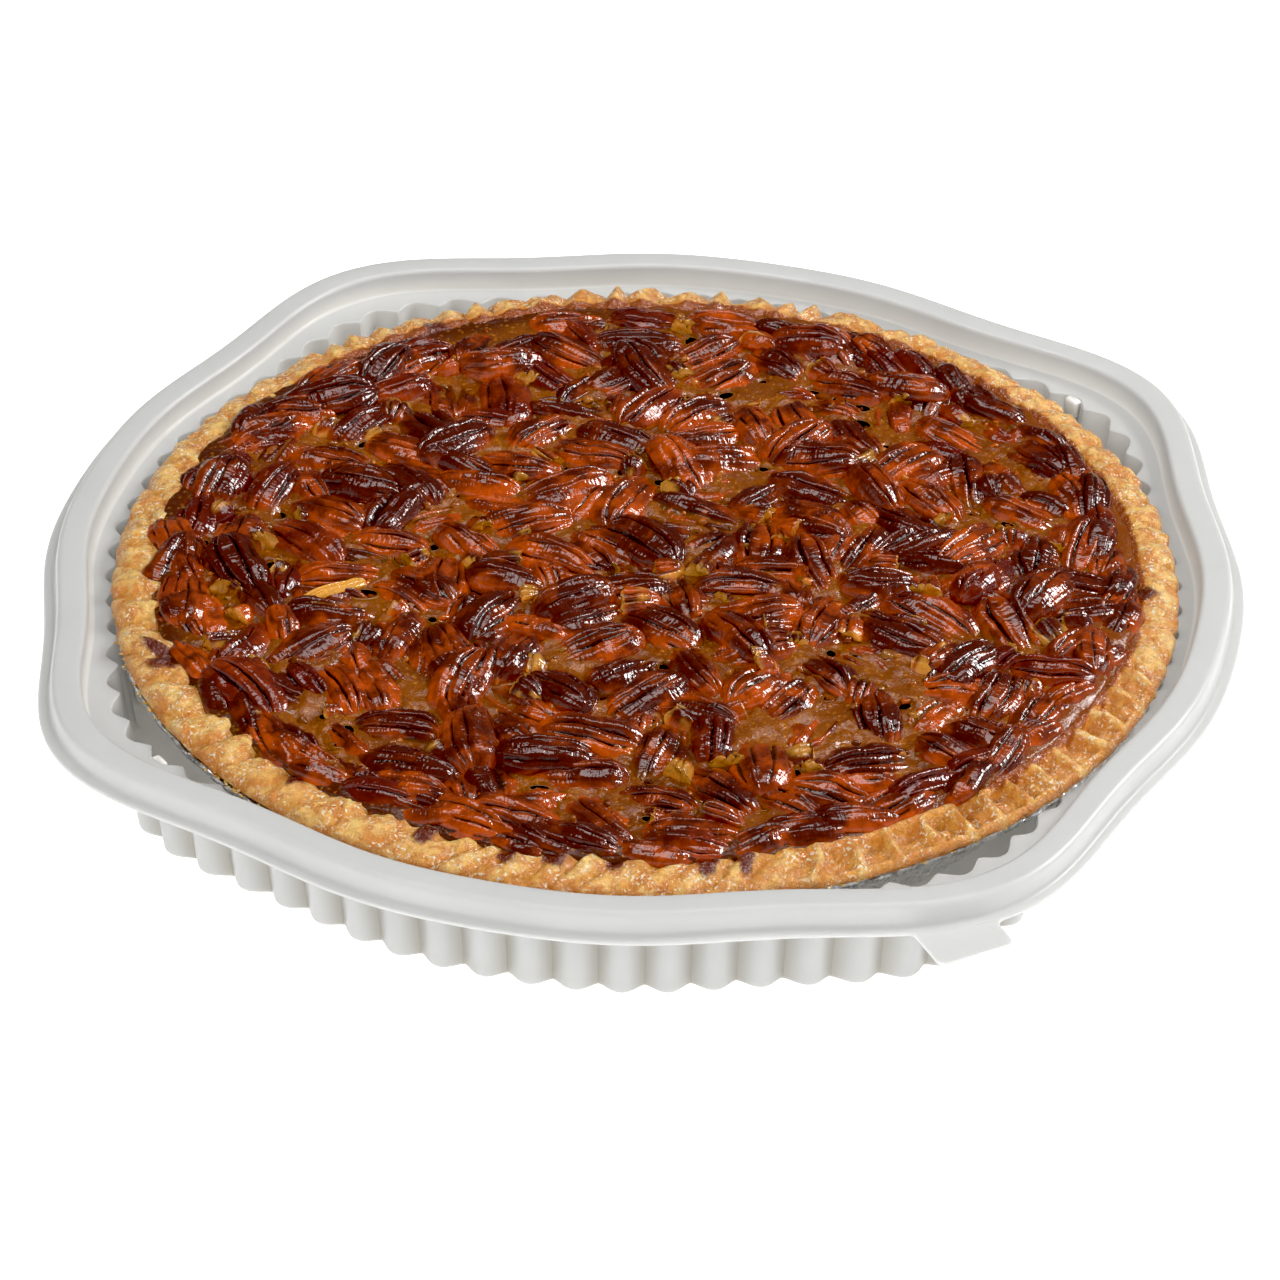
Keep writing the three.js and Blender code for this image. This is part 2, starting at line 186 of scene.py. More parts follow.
def face_outwards():
    """Turns all faces of the mesh outwards and leaves edit mode."""
    bpy.ops.mesh.select_all(action="SELECT")
    bpy.ops.mesh.normals_make_consistent(inside=False)
    bpy.ops.object.mode_set(mode="OBJECT")


def round_corners(corners, radii, steps=4):
    """A line of (offset, height) corners with each inner corner turned into an arc."""
    line = [np.array(corners[0], float)]
    for before, corner, after, radius in zip(corners, corners[1:], corners[2:], radii):
        before, corner, after = (np.array(p, float) for p in (before, corner, after))
        if not radius:
            line.append(corner)
            continue
        towards, onwards = before - corner, after - corner
        reach = min(radius, 0.45 * np.linalg.norm(towards), 0.45 * np.linalg.norm(onwards))
        start = corner + towards / np.linalg.norm(towards) * reach
        end = corner + onwards / np.linalg.norm(onwards) * reach
        for n in range(steps + 1):
            t = n / steps
            line.append((1 - t) ** 2 * start + 2 * t * (1 - t) * corner + t * t * end)
    line.append(np.array(corners[-1], float))
    return line


def spin_section(name, count, steps, sectors):
    """Spins a half circle of points round the Z axis, one sector first and then its copies.

    Each point of the mesh keeps its number on the half circle as "station", by which the piece
    then gets its shape.
    """
    deselect()
    bpy.ops.mesh.primitive_circle_add(vertices=count, radius=0.1)
    piece = name_piece(name)
    lean = np.pi * np.arange(count) / (count - 1)
    set_points(piece, 0.1 * np.stack([np.sin(lean), 0 * lean, -np.cos(lean)], 1))
    paint(piece, "station", np.arange(count))
    edit(piece)
    sector = TURN / sectors
    middle = {"center": (0, 0, 0), "axis": (0, 0, 1)}
    bpy.ops.mesh.spin(steps=steps // sectors, angle=sector, **middle)
    bpy.ops.mesh.select_all(action="SELECT")
    bpy.ops.mesh.spin(steps=sectors - 1, angle=TURN - sector, dupli=True, **middle)
    bpy.ops.mesh.select_all(action="SELECT")
    bpy.ops.mesh.remove_doubles(threshold=1e-6)
    bpy.ops.mesh.delete_loose()
    face_outwards()
    return piece


def stations_and_angles(piece):
    points = points_of(piece)
    stations = np.rint(read_paint(piece, "station")).astype(int)
    return stations, np.arctan2(points[:, 1], points[:, 0]) % TURN


def finish(piece, material, angle=60, node=None):
    """Smooths a piece, gives it its material and fixes it to the pie."""
    choose(piece)
    bpy.ops.object.shade_smooth_by_angle(angle=math.radians(angle))
    piece.data.materials.clear()
    piece.data.materials.append(material)
    if "station" in piece.data.attributes:
        piece.data.attributes.remove(piece.data.attributes["station"])
    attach(piece, "root")
    if node:
        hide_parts(node)
    return piece


def join(pieces, name):
    choose(*pieces)
    bpy.ops.object.join()
    return name_piece(name)


# Materials


def new_material(name):
    """An empty material and its node tree, with a surface shader joined to the output."""
    material = bpy.data.materials.new(name)
    material.use_nodes = True
    return material, material.node_tree, material.node_tree.nodes["Principled BSDF"]


def give(tree, made, inputs):
    """Links or sets the inputs of a node, by name or number."""
    for key, value in inputs.items():
        if isinstance(value, bpy.types.NodeSocket):
            tree.links.new(value, made.inputs[key])
        else:
            made.inputs[key].default_value = value


def node(tree, kind, inputs=None, **settings):
    """Adds a node with its settings and its inputs."""
    made = tree.nodes.new(kind)
    for key, value in settings.items():
        setattr(made, key, value)
    give(tree, made, inputs or {})
    return made


def mix(tree, a, b, factor, share=1.0):
    """Lays colour b over colour a by that share of the factor."""
    if share != 1:
        factor = times(tree, factor, share)
    a, b = (v if isinstance(v, bpy.types.NodeSocket) else (*v[:3], 1) for v in (a, b))
    return node(tree, "ShaderNodeMix", {6: a, 7: b, 0: factor}, data_type="RGBA").outputs[2]


def math_node(tree, operation, a, b):
    return node(tree, "ShaderNodeMath", {0: a, 1: b}, operation=operation).outputs[0]


def times(tree, a, b):
    return math_node(tree, "MULTIPLY", a, b)


def plus(tree, a, b):
    return math_node(tree, "ADD", a, b)


def spread(tree, value, low, high, new_low=0.0, new_high=1.0):
    """Maps low..high to new_low..new_high softly, and holds it there outside."""
    inputs = {"Value": value, "From Min": low, "From Max": high, "To Min": new_low, "To Max": new_high}
    return node(tree, "ShaderNodeMapRange", inputs, interpolation_type="SMOOTHSTEP").outputs[0]


def painted(tree, name):
    return node(tree, "ShaderNodeAttribute", attribute_name=name).outputs["Fac"]


def bump(tree, height, distance, strength=1.0, normal=None):
    inputs = {"Height": height, "Distance": distance, "Strength": strength}
    if normal:
        inputs["Normal"] = normal
    return node(tree, "ShaderNodeBump", inputs).outputs[0]


def noise(tree, vector, scale, detail=2.0, roughness=0.5, distortion=0.0):
    inputs = {
        "Vector": vector, "Scale": scale, "Detail": detail,
        "Roughness": roughness, "Distortion": distortion,
    }
    return node(tree, "ShaderNodeTexNoise", inputs).outputs["Fac"]


def here(tree):
    """The place on the object, in metres."""
    return node(tree, "ShaderNodeTexCoord").outputs["Object"]


def new_group(name, inputs, outputs):
    """A node group with (name, kind, default) inputs and (name, kind) outputs."""
    group = bpy.data.node_groups.new(name, "ShaderNodeTree")
    for label, kind, default in inputs:
        socket = group.interface.new_socket(label, in_out="INPUT", socket_type=kind)
        if default is not None:
            socket.default_value = default
    for label, kind in outputs:
        group.interface.new_socket(label, in_out="OUTPUT", socket_type=kind)
    return group, group.nodes.new("NodeGroupInput"), group.nodes.new("NodeGroupOutput")


def mottle_group():
    """Two sizes of blotches and a fine grain, used by the pastry, the glaze and the kernels."""
    if "mottle" in bpy.data.node_groups:
        return bpy.data.node_groups["mottle"]
    group, given, result = new_group(
        "mottle",
        [("Vector", "NodeSocketVector", None), ("Blotch Scale", "NodeSocketFloat", 120.0)],
        [("Blotch", "NodeSocketFloat"), ("Fleck", "NodeSocketFloat"), ("Grain", "NodeSocketFloat")],
    )
    vector, scale = given.outputs["Vector"], given.outputs["Blotch Scale"]
    fleck_scale = times(group, scale, 4.3)
    grain_scale = times(group, scale, 17.0)
    blotch = noise(group, vector, scale, 3, 0.55, 0.4)
    fleck = noise(group, vector, fleck_scale, 3, 0.6, 0.2)
    grain = noise(group, vector, grain_scale, 2, 0.6)
    group.links.new(spread(group, blotch, 0.35, 0.68), result.inputs["Blotch"])
    group.links.new(spread(group, fleck, 0.38, 0.66), result.inputs["Fleck"])
    group.links.new(grain, result.inputs["Grain"])
    return group


def mottle(tree, vector, blotch_size):
    """The outputs of a mottle group whose blotches are about that wide."""
    made = node(tree, "ShaderNodeGroup", node_tree=mottle_group())
    tree.links.new(vector, made.inputs["Vector"])
    made.inputs["Blotch Scale"].default_value = 0.6 / blotch_size
    return made.outputs


# Settings


def length(name, default, description):
    return bpy.props.FloatProperty(
        name=name, default=default, description=description, unit="LENGTH", precision=4
    )


def number(name, default, description):
    return bpy.props.FloatProperty(name=name, default=default, description=description)


def angle(name, degrees, description):
    return bpy.props.FloatProperty(
        name=name, default=math.radians(degrees), description=description, subtype="ANGLE"
    )


def count(name, default, description):
    return bpy.props.IntProperty(name=name, default=default, description=description)


def colour(name, default, description):
    return bpy.props.FloatVectorProperty(
        name=name, default=default, description=description, subtype="COLOR", size=3, min=0, max=1
    )


class TraySettings(bpy.types.PropertyGroup):
    crest_side: length("Crest at a side", 0.1618, "Radius of the rim's crest, halfway along a side")
    crest_corner: length("Crest at a corner", 0.1748, "Radius of the rim's crest at a corner lobe")
    crest_width: length("Crest width", 0.0082, "Width of the flat top of the rim")
    riser_lean: length("Riser lean", 0.0005, "How far the wall inside the crest leans inwards")
    flange_reach: length("Flange reach", 0.004, "How far the flange stands out past the crest")
    flange_drop: length("Flange drop", 0.006, "Height of the crest above the flange")
    ledge_drop: length("Ledge drop", 0.0065, "Height of the crest above the inner ledge")
    flute_side: length("Flutes at a side", 0.149, "Radius of the flutes, halfway along a side")
    flute_corner: length("Flutes at a corner", 0.1587, "Radius of the flutes at a corner lobe")
    flute_depth: length("Flute depth", 0.0037, "How far the ribs stand in between two flutes")
    flute_taper: length("Flute taper", 0.0036, "How far the wall leans in on its way down")
    flutes: count("Flutes", 76, "Number of flutes round the tray")
    foot: length("Foot rounding", 0.0023, "Rounding between the wall and the floor")
    wall: length("Wall", 0.001, "Thickness of the plastic")
    tab_angle: angle("Tab direction", 310.1, "Direction of the pull tab")
    tab_width: length("Tab width", 0.021, "Width of the pull tab")
    tab_reach: length("Tab reach", 0.1878, "Distance from the middle of the tray to the tab's end")
    tab_root: length("Tab root", 0.1755, "Distance from the middle of the tray to the tab's root")
    tab_fillet: length("Tab fillet", 0.005, "Rounding where the tab meets the flange")
    lug_angle: angle("Lug direction", 49.74, "Direction of one of the two stacking lugs")
    # painted shade: the valleys between the outer ribs are darkened towards this colour
    valley: colour("Valleys", (0.40, 0.385, 0.345), "Colour of the plastic down between the ribs")
    # painted light: down inside the tray, on the inner riser and on the lugs the plastic is lightened towards
    # this colour to lift the shade there
    pocket_light: colour("Pockets", (0.85, 0.82, 0.76), "Colour of the plastic down inside the tray")
    plastic: colour("Plastic", (0.51, 0.51, 0.50), "Colour of the plastic")


class TinSettings(bpy.types.PropertyGroup):
    floor: length("Floor radius", 0.119, "Radius of the tin's floor")
    mouth: length("Mouth radius", 0.1402, "Radius of the side just under the rim")
    rim: length("Rim radius", 0.1462, "Radius of the rim's flat part")
    bead: length("Bead radius", 0.1476, "Radius of the curled edge")
    bead_height: length("Bead height", 0.0010, "Height of the curled edge")
    foil: length("Foil", 0.0006, "Thickness of the folded foil")
    lift: length("Rim height", 0.0062, "Height of the tray's crest above the tin's rim")
    crease: length("Crease depth", 0.0011, "How deep the foil is crinkled")
    metal: colour("Foil", (0.90, 0.90, 0.91), "Colour of the foil")


class CrustSettings(bpy.types.PropertyGroup):
    crimps: count("Crimps", 87, "Number of crimps round the rim")
    edge: length("Edge radius", 0.1470, "Radius of the rim's outer edge")
    lip: length("Lip radius", 0.1344, "Radius where the rim turns down to the filling")
    merged: count("Merged crimps", 7, "How many crimps the broad side has fewer")
    slant: number("Slant", 1.0, "How many crimps the creases cross on their way out")
    dent: length("Dent depth", 0.0022, "Depth of the pressed dents")
    # painted light: the raised tops of the crimps are lightened towards this colour
    light: colour("Light pastry", (0.95, 0.62, 0.20), "Colour of the raised pastry")
    tan: colour("Golden pastry", (0.80, 0.375, 0.064), "Colour of most of the pastry")
    # this colour is also the painted shade in the dents and creases of the crimps
    brown: colour("Browned pastry", (0.56, 0.19, 0.024), "Colour of the dents and the toasted edges")
    rim_crumbs: count("Rim crumbs", 110, "Number of crumbs on the bare rim of the tin")
    syrup: colour("Syrup stain", (0.12, 0.017, 0.005), "Colour of syrup that ran onto the pastry")
    patch: colour("Toasted patches", (0.66, 0.225, 0.028), "Colour of the blotches on the pastry")
    # painted highlight: pale specks that stand for glints of light on the oily pastry
    grain: colour("Pale grains", (1.0, 0.91, 0.70), "Colour of the grains that sparkle on the pastry")
    thin_film: colour("Thin syrup", (0.66, 0.22, 0.018), "Colour of the pastry under a thin film")
    thick_film: colour("Thick syrup", (0.24, 0.045, 0.005), "Colour of the pastry under a thick film")


class FillingSettings(bpy.types.PropertyGroup):
    radius: length("Radius", 0.1358, "Radius of the filling's surface, up to inside the crust")
    edge_drop: length("Edge drop", 0.0014, "Height of the tray's crest above the filling's edge")
    crown: length("Crown", 0.001, "How far the middle stands above the edge")
    climb: length("Climb", 0.0013, "How far the glaze climbs up a kernel")
    cells: count("Cells", 296, "Cells of the surface from side to side")
    holes: count("Holes", 118, "Number of burst bubbles")
    amber: colour("Amber glaze", (0.38, 0.114, 0.008), "Colour of the glaze where it is thin")
    brown: colour("Brown glaze", (0.16, 0.035, 0.004), "Colour of the glaze where it is thick")
    # colour of dark flecks in the glaze, and of painted shade in the holes and along the rim
    burnt_and_shade: colour("Burnt glaze", (0.060, 0.009, 0.003), "Colour of the glaze in holes and at the rim")
    # painted shade: the glaze right round each kernel is darkened towards this colour
    kernel_shade_colour: colour("Glaze at a kernel", (0.20, 0.055, 0.007), "Colour of the glaze close to a kernel")
    shard: colour("Shards", (0.56, 0.23, 0.030), "Colour of the fine bits of nut in the glaze")
    # painted light: on the side towards the key light the rim strip is darkened only to this colour
    rim_lit_side: colour("Shallow glaze", (0.20, 0.048, 0.005), "Colour of the glaze at the bright side")
    hole_edge: colour("Bubble edge", (0.20, 0.065, 0.008), "Colour of the edge of a burst bubble")
    # painted shade: the inside of a burst bubble is made nearly black
    hole_shade: colour("Bubble inside", (0.006, 0.002, 0.001), "Colour deep inside a burst bubble")


class PecanSettings(bpy.types.PropertyGroup):
    seed: count("Seed", 20117, "Start of the random draw that lays the kernels out")
    kernels: count("Kernels", 178, "Number of pecan halves")
    crumbs: count("Crumbs", 600, "Number of small crumbs set in the glaze")
    sunken: count("Sunken halves", 110, "Number of pecan halves sunk in the gaps between the others")
    chips: count("Chips", 80, "Number of broken pieces")
    field: length("Field radius", 0.1314, "No kernel reaches past it")
    height: length("Kernel height", 0.0067, "Height of a kernel above its flat face")
    groove: length("Groove depth", 0.0015, "Depth of the two long grooves on a kernel's back")
    skin: colour("Skin", (0.080, 0.0080, 0.0022), "Colour of the glazed skin on the ridges")
    warm: colour("Warm skin", (0.50, 0.077, 0.006), "Colour of the skin where it catches the light")
    # painted shade: the grooves and folds of a kernel are darkened towards this colour
    deep: colour("Grooves", (0.022, 0.0035, 0.0015), "Colour in the grooves")
    bare: colour("Bare kernel", (0.72, 0.33, 0.048), "Colour of a broken face under the syrup")
    wine: colour("Dark kernel", (0.15, 0.010, 0.004), "Colour of the darkest halves, towards the rim")
    foot: colour("Kernel's foot", (0.26, 0.085, 0.010), "Colour of a kernel where it sinks into the glaze")


class StageSettings(bpy.types.PropertyGroup):
    floor: colour("Floor", (0.84, 0.84, 0.84), "Colour of the floor")
    glow: number("Floor glow", 0.8, "How much the floor lights itself, to keep its shadow light")
    sky: number("Surrounding light", 0.07, "Strength of the even light all round")
    front: number("Front light", 0.55, "Strength of the low light on the camera's side")
    key: number("Key light", 15.0, "Power of the light from the right, in watts")
    top: number("Top light", 4.7, "Power of the light from above, in watts")
    fill: number("Fill light", 13.0, "Power of each wide light that leaves no reflections, in watts")
    black: number("Black level", 0.013, "Brightness that the picture shows as black")
    turn: angle("Camera turn", 13.387, "How far the camera stands round to the right of the front")
    elevation: angle("Camera elevation", 35.206, "How steeply the camera looks down")
    roll: angle("Camera roll", 0.988, "How far the camera leans")


# Tray


def lobe(angle):
    """0 halfway along a side of the tray and 1 at a corner, with a slight waist between them."""
    t = angle - math.pi / 4
    return 0.4 * (1 + np.cos(4 * t)) - 0.255 * (1 - np.cos(8 * t)) + 0.1 * (1 + np.cos(12 * t))


def tray_section(s):
    """The tray's section: rows of (crest share, flute share, floor share, offset, height)."""
    ledge, flange, wall, width = CREST - s.ledge_drop, CREST - s.flange_drop, s.wall, s.crest_width
    riser = -width - s.riser_lean
    rows = [(0, 0, 0, 0, 0), (0, 0, 0.5, 0, 0), (0, 0, 0.97, 0, 0)]
    outside = round_corners(
        [(-s.flute_taper - 1.5 * s.foot, 0), (wall - s.flute_taper, 0), (wall, ledge - wall)],
        [s.foot * 1.2],
    )
    rows += [(0, 1, 0, o, z) for o, z in outside]
    under = round_corners(
        [
            (riser + wall, ledge - wall), (wall - width, CREST - wall), (-wall, CREST - wall),
            (0.4 * MM, flange - wall), (s.flange_reach - 0.3 * MM, flange - wall),
        ],
        [0.8 * MM, 0.8 * MM, 1.6 * MM],
    )
    edge = [(s.flange_reach, flange - 0.7 * wall), (s.flange_reach, flange - 0.3 * wall)]
    over = round_corners(
        [
            (s.flange_reach - 0.3 * MM, flange), (1.1 * MM, flange), (0, CREST), (-width, CREST),
            (riser, ledge), (riser - 2.9 * MM, ledge),
        ],
        [2.4 * MM, 1.7 * MM, 1.5 * MM, 2.5 * MM],
        6,
    )
    rows += [(1, 0, 0, o, z) for o, z in [*under, *edge, *over]]
    inside = round_corners(
        [
            (0.9 * MM, ledge), (-0.15 * MM, ledge), (-s.flute_taper, wall),
            (-s.flute_taper - 1.5 * s.foot, wall),
        ],
        [0.8 * MM, s.foot],
    )
    rows += [(0, 1, 0, o, z) for o, z in inside]
    rows += [(0, 0, 0.97, 0, wall), (0, 0, 0.5, 0, wall), (0, 0, 0, 0, wall)]
    return np.array(rows, float)


def tray_lines(s, angles):
    """Radii of the crest, the flutes and the floor's edge in each direction."""
    crest = blend(s.crest_side, s.crest_corner, lobe(angles))
    tips = blend(s.flute_side, s.flute_corner, lobe(angles))
    rib = 1 - (np.sin(s.flutes * angles / 2) ** 2 + 0.012) ** 0.6
    flutes = tips - s.flute_depth * np.clip(rib, 0, 1)
    floor = tips - s.flute_depth - s.flute_taper - s.foot
    return crest, flutes, floor


def make_tab(s):
    """The pull tab: a plane whose sides are drawn in, with rounded corners."""
    deselect()
    bpy.ops.mesh.primitive_plane_add(size=1)
    tab = name_piece("tab")
    half, fillet, corner = s.tab_width / 2, s.tab_fillet, 2.5 * MM
    left, right = (
        (tray_lines(s, s.tab_angle + lean)[0] + s.flange_reach) * math.cos(lean) - 0.5 * MM
        for lean in (-(half + fillet) / s.tab_root, (half + fillet) / s.tab_root)
    )
    outline = round_corners(
        [
            (left - 2 * MM, -half - fillet), (left, -half - fillet), (left + 1.5 * MM, -half),
            (s.tab_reach, -half), (s.tab_reach, half), (right + 1.0 * MM, half),
            (right, half + fillet), (right - 2 * MM, half + fillet),
        ],
        [0, fillet, corner, corner, fillet, 0],
        6,
    )
    bpy.ops.object.mode_set(mode="EDIT")
    bpy.ops.mesh.delete(type="VERT")
    bpy.ops.mesh.primitive_circle_add(vertices=len(outline), radius=1, fill_type="NGON")
    bpy.ops.object.mode_set(mode="OBJECT")
    set_points(tab, [(x, y, 0) for x, y in outline])
    edit(tab)
    bpy.ops.mesh.extrude_region_move(TRANSFORM_OT_translate={"value": (0, 0, 0.9 * s.wall)})
    face_outwards()
    turned = points_of(tab) @ np.array(Matrix.Rotation(s.tab_angle, 3, "Z").transposed())
    set_points(tab, turned + (0, 0, CREST - s.flange_drop - 0.95 * s.wall))
    return tab


def make_lugs(s):
    """Two small blocks high up in the flutes, which keep stacked trays apart."""
    lugs = []
    pitch = TURN / s.flutes
    for half in range(2):
        way = (round((s.lug_angle + half * TURN / 2) / pitch - 0.5) + 0.5) * pitch
        middle = blend(s.flute_side, s.flute_corner, lobe(way)) - 1.3 * MM
        deselect()
        bpy.ops.mesh.primitive_cube_add(
            size=1, scale=(3.2 * MM, 5.0 * MM, 5.6 * MM), rotation=(0, 0, way),
            location=(middle * math.cos(way), middle * math.sin(way), CREST - s.ledge_drop - 3.0 * MM),
        )
        lug = name_piece("lug")
        bpy.ops.object.transform_apply()
        rounding = lug.modifiers.new("rounding", "BEVEL")
        rounding.width, rounding.segments = 0.9 * MM, 3
        bpy.ops.object.modifier_apply(modifier=rounding.name)
        # painted light on the lugs, as down inside the tray
        paint(lug, "pocket_light", np.ones(len(lug.data.vertices)))
        lugs.append(lug)
    return lugs


def plastic_material(s):
    """Smooth white plastic with the faint unevenness of a formed sheet, with painted shade in the outer
    valleys and painted light down inside the tray.
    """
    material, tree, shader = new_material("white_plastic")
    place = here(tree)
    cloud = noise(tree, place, 38, 3)
    tint = mix(tree, s.plastic, [0.965 * v for v in s.plastic], spread(tree, cloud, 0.35, 0.7))
    # painted shade in the valleys between the outer ribs
    tint = mix(tree, tint, s.valley, painted(tree, "valley"))
    sheet = bump(tree, cloud, 0.8 * MM, 0.35)
    give(tree, shader, {
        # painted light down inside the tray
        "Base Color": mix(tree, tint, s.pocket_light, painted(tree, "pocket_light")),
        "Roughness": spread(tree, cloud, 0.3, 0.7, 0.30, 0.40),
        "Normal": bump(tree, noise(tree, place, 900, 2), 0.03 * MM, 0.5, sheet),
        "Subsurface Weight": 0.7, "Subsurface Radius": (1, 1, 1), "Subsurface Scale": 0.003, "IOR": 1.48,
    })
    return material


class PIE_OT_tray(bpy.types.Operator):
    """Makes the white fluted tray with its pull tab"""

    bl_idname = "pie.tray"
    bl_label = "Tray"

    def execute(self, context):
        s = context.scene.pie_tray
        rows = tray_section(s)
        tray = spin_section("tray_shell", len(rows), s.flutes * 12, 12)
        stations, angles = stations_and_angles(tray)
        crest, flutes, floor = tray_lines(s, angles)
        a, b, c, offset, height = rows[stations].T
        radius = a * crest + b * flutes + c * floor + offset
        set_points(tray, around(radius, angles, height))
        dip = np.sin(s.flutes * angles / 2) ** 2
        outside = stations < len(rows) // 2
        # mask of painted shade, full in the valleys between the outer ribs
        paint(tray, "valley", b * outside * (1 - dip) ** 2)
        ledge = CREST - s.ledge_drop
        riser = (offset < -1.02 * s.crest_width) & (offset > -s.crest_width - 1.6 * MM) & (height > ledge)
        # painted light, part on the inner riser and full below the ledge
        pocket_light = np.where(riser & (a == 1), 0.32, smooth(ledge + 0.1 * MM, ledge - 1.5 * MM, height))
        paint(tray, "pocket_light", ~outside * pocket_light)
        extras = join([make_tab(s), *make_lugs(s)], "tab_and_lugs")
        union = tray.modifiers.new("extras", "BOOLEAN")
        union.operation, union.solver, union.object = "UNION", "MANIFOLD", extras
        choose(tray)
        bpy.ops.object.modifier_apply(modifier=union.name)
        bpy.data.objects.remove(extras)
        finish(tray, plastic_material(s), 38, "tray")
        return {"FINISHED"}


# Foil tin


def foil_material(s):
    """Thin bright foil, pressed into small flat facets."""
    material, tree, shader = new_material("crinkled_foil")
    place = here(tree)
    facets = node(tree, "ShaderNodeTexVoronoi", {"Vector": place, "Scale": 420.0}, feature="F1")
    folds = noise(tree, place, 260, 3, 0.6)
    dust = spread(tree, noise(tree, place, 700, 2), 0.45, 0.7)
    creased = bump(tree, facets.outputs["Distance"], 0.9 * MM, 0.7)
    give(tree, shader, {
        "Base Color": mix(tree, s.metal, [0.62 * v for v in s.metal], dust),
        "Metallic": 1, "Roughness": spread(tree, folds, 0.3, 0.7, 0.24, 0.46),
        "Normal": bump(tree, folds, 0.7 * MM, 0.6, creased),
    })
    return material


class PIE_OT_tin(bpy.types.Operator):
    """Makes the thin foil tin with its crinkled, curled rim"""

    bl_idname = "pie.tin"
    bl_label = "Foil tin"

    def execute(self, context):
        s = context.scene.pie_tin
        rim = CREST - s.lift
        top = rim + s.bead_height
        section = [
            (0, TIN_BASE), (s.floor, TIN_BASE), (s.floor + 2.5 * MM, TIN_BASE + 1.25 * MM),
            *[(blend(s.floor + 2.5 * MM, s.mouth, t), blend(TIN_BASE + 1.25 * MM, rim, t))
              for t in (0.25, 0.5, 0.75, 1)],
            (s.rim - 2 * MM, rim), (s.rim - 0.4 * MM, rim - 0.1 * MM), (s.rim, rim - 0.9 * MM),
            (s.rim + 0.6 * MM, rim - 1.1 * MM), (s.bead - 0.2 * MM, rim - 0.7 * MM),
            (s.bead, rim - 0.1 * MM), (s.bead, rim + 0.5 * MM), (s.bead - 0.4 * MM, top),
            (s.rim + 0.7 * MM, top), (s.rim + 0.4 * MM, rim + 0.8 * MM), (s.rim, rim + s.foil),
            (s.rim - 2 * MM, rim + s.foil), (s.mouth - s.foil, rim + s.foil),
            (s.floor + 2.5 * MM - s.foil, TIN_BASE + 1.25 * MM + s.foil),
            (s.floor - s.foil, TIN_BASE + s.foil), (0, TIN_BASE + s.foil),
        ]
        tin = spin_section("foil_pan", len(section), 620, 10)
        stations, angles = stations_and_angles(tin)
        radius, height = np.array(section)[stations].T
        x, y = radius * np.cos(angles), radius * np.sin(angles)
        out = smooth(s.mouth, s.bead, radius)
        pleat = lumps(angles * 62, 0, 3.1, 5) + 0.6 * lumps(angles * 150, 0, 8.2, 6)
        height = height + s.crease * out * (0.6 * pleat + 0.5 * lumps(x / 0.004, y / 0.004, 0, 9))
        radius = radius + s.crease * out * (0.45 * pleat - 0.3)
        radius = radius + 0.35 * MM * smooth(s.floor, s.mouth, radius) * (1 - out) * np.sin(angles * 120)
        radius = radius - 1.3 * MM * out * (1 - window(angles, 212, 352))
        set_points(tin, around(radius, angles, height) + MIDDLE)
        finish(tin, foil_material(s), 28, "foil_tin")
        return {"FINISHED"}


# Crust

BLEEDS = (
    # direction in degrees, reach outwards from the lip and half width, both in mm
    (216.0, 3.0, 3.2),
    (260.0, 2.4, 1.8),
    (269.5, 2.6, 2.0),
    (274.5, 1.6, 2.6),
    (281.0, 1.8, 1.6),
    (290.5, 3.0, 2.4),
    (294.6, 4.2, 1.5),
    (243.0, 1.4, 1.6),
    (8.0, 1.5, 2.4),
    (131.0, 1.8, 2.5),
)
BROAD = (math.radians(146), math.radians(262))  # the side with the widest crimps
CRUST_MASKS = ("hollow", "peak", "stain", "film", "toasted")
STYLES = {  # of crimp, with the directions in degrees that each one has
    "pressed": (302, 352), "waved": (146, 258), "roped": (352, 72), "jagged": (72, 146), "plain": (258, 302),
}


def crust_section(s):
    """The crust's section, and for each point how far in over the rim it lies, from 0 to 1."""
    seat = CREST - 5.3 * MM
    lower = [
        (0, CRUST_BASE), (0.1160, CRUST_BASE), (0.1185, CRUST_BASE + 2.5 * MM),
        (0.1390, seat), (0.1440, seat), (s.edge - 0.8 * MM, seat + 0.1 * MM),
    ]
    drops = [
        (0.0, 4.7), (0.05, 4.1), (0.25, 3.5), (0.6, 2.95), (1.1, 2.45), (1.7, 2.0), (2.4, 1.6),
        (3.1, 1.25), (3.9, 0.95), (4.7, 0.72), (5.5, 0.55), (6.3, 0.45), (7.1, 0.38), (7.9, 0.35),
        (8.6, 0.34), (9.3, 0.34), (9.9, 0.36), (10.5, 0.4), (11.1, 0.48), (11.6, 0.6),
        (12.1, 0.78), (12.5, 1.0), (12.9, 1.3), (13.25, 1.75), (13.6, 2.3), (13.9, 2.9), (14.1, 3.5),
    ]
    top = [(s.edge - inwards * MM, CREST - drop * MM) for inwards, drop in drops]
    upper = [(0.1135, CRUST_BASE + 5 * MM), (0, CRUST_BASE + 5 * MM)]
    across = [0] * len(lower) + [inwards / 13.1 for inwards, _ in drops] + [1, 1]
    return [*lower, *top, *upper], np.array(across), len(lower), len(lower) + len(top)


def crimp_styles(angles):
    """How much the rim is pressed, waved, roped, jagged or plain in each direction."""
    return {name: window(angles, *span) for name, span in STYLES.items()}


def bulge(c, sharpness):
    """1 along the middle of a crimp and 0 in the crease at each side of it."""
    return np.clip(1 - np.abs(2 * c) ** sharpness, 0, 1) ** 0.6


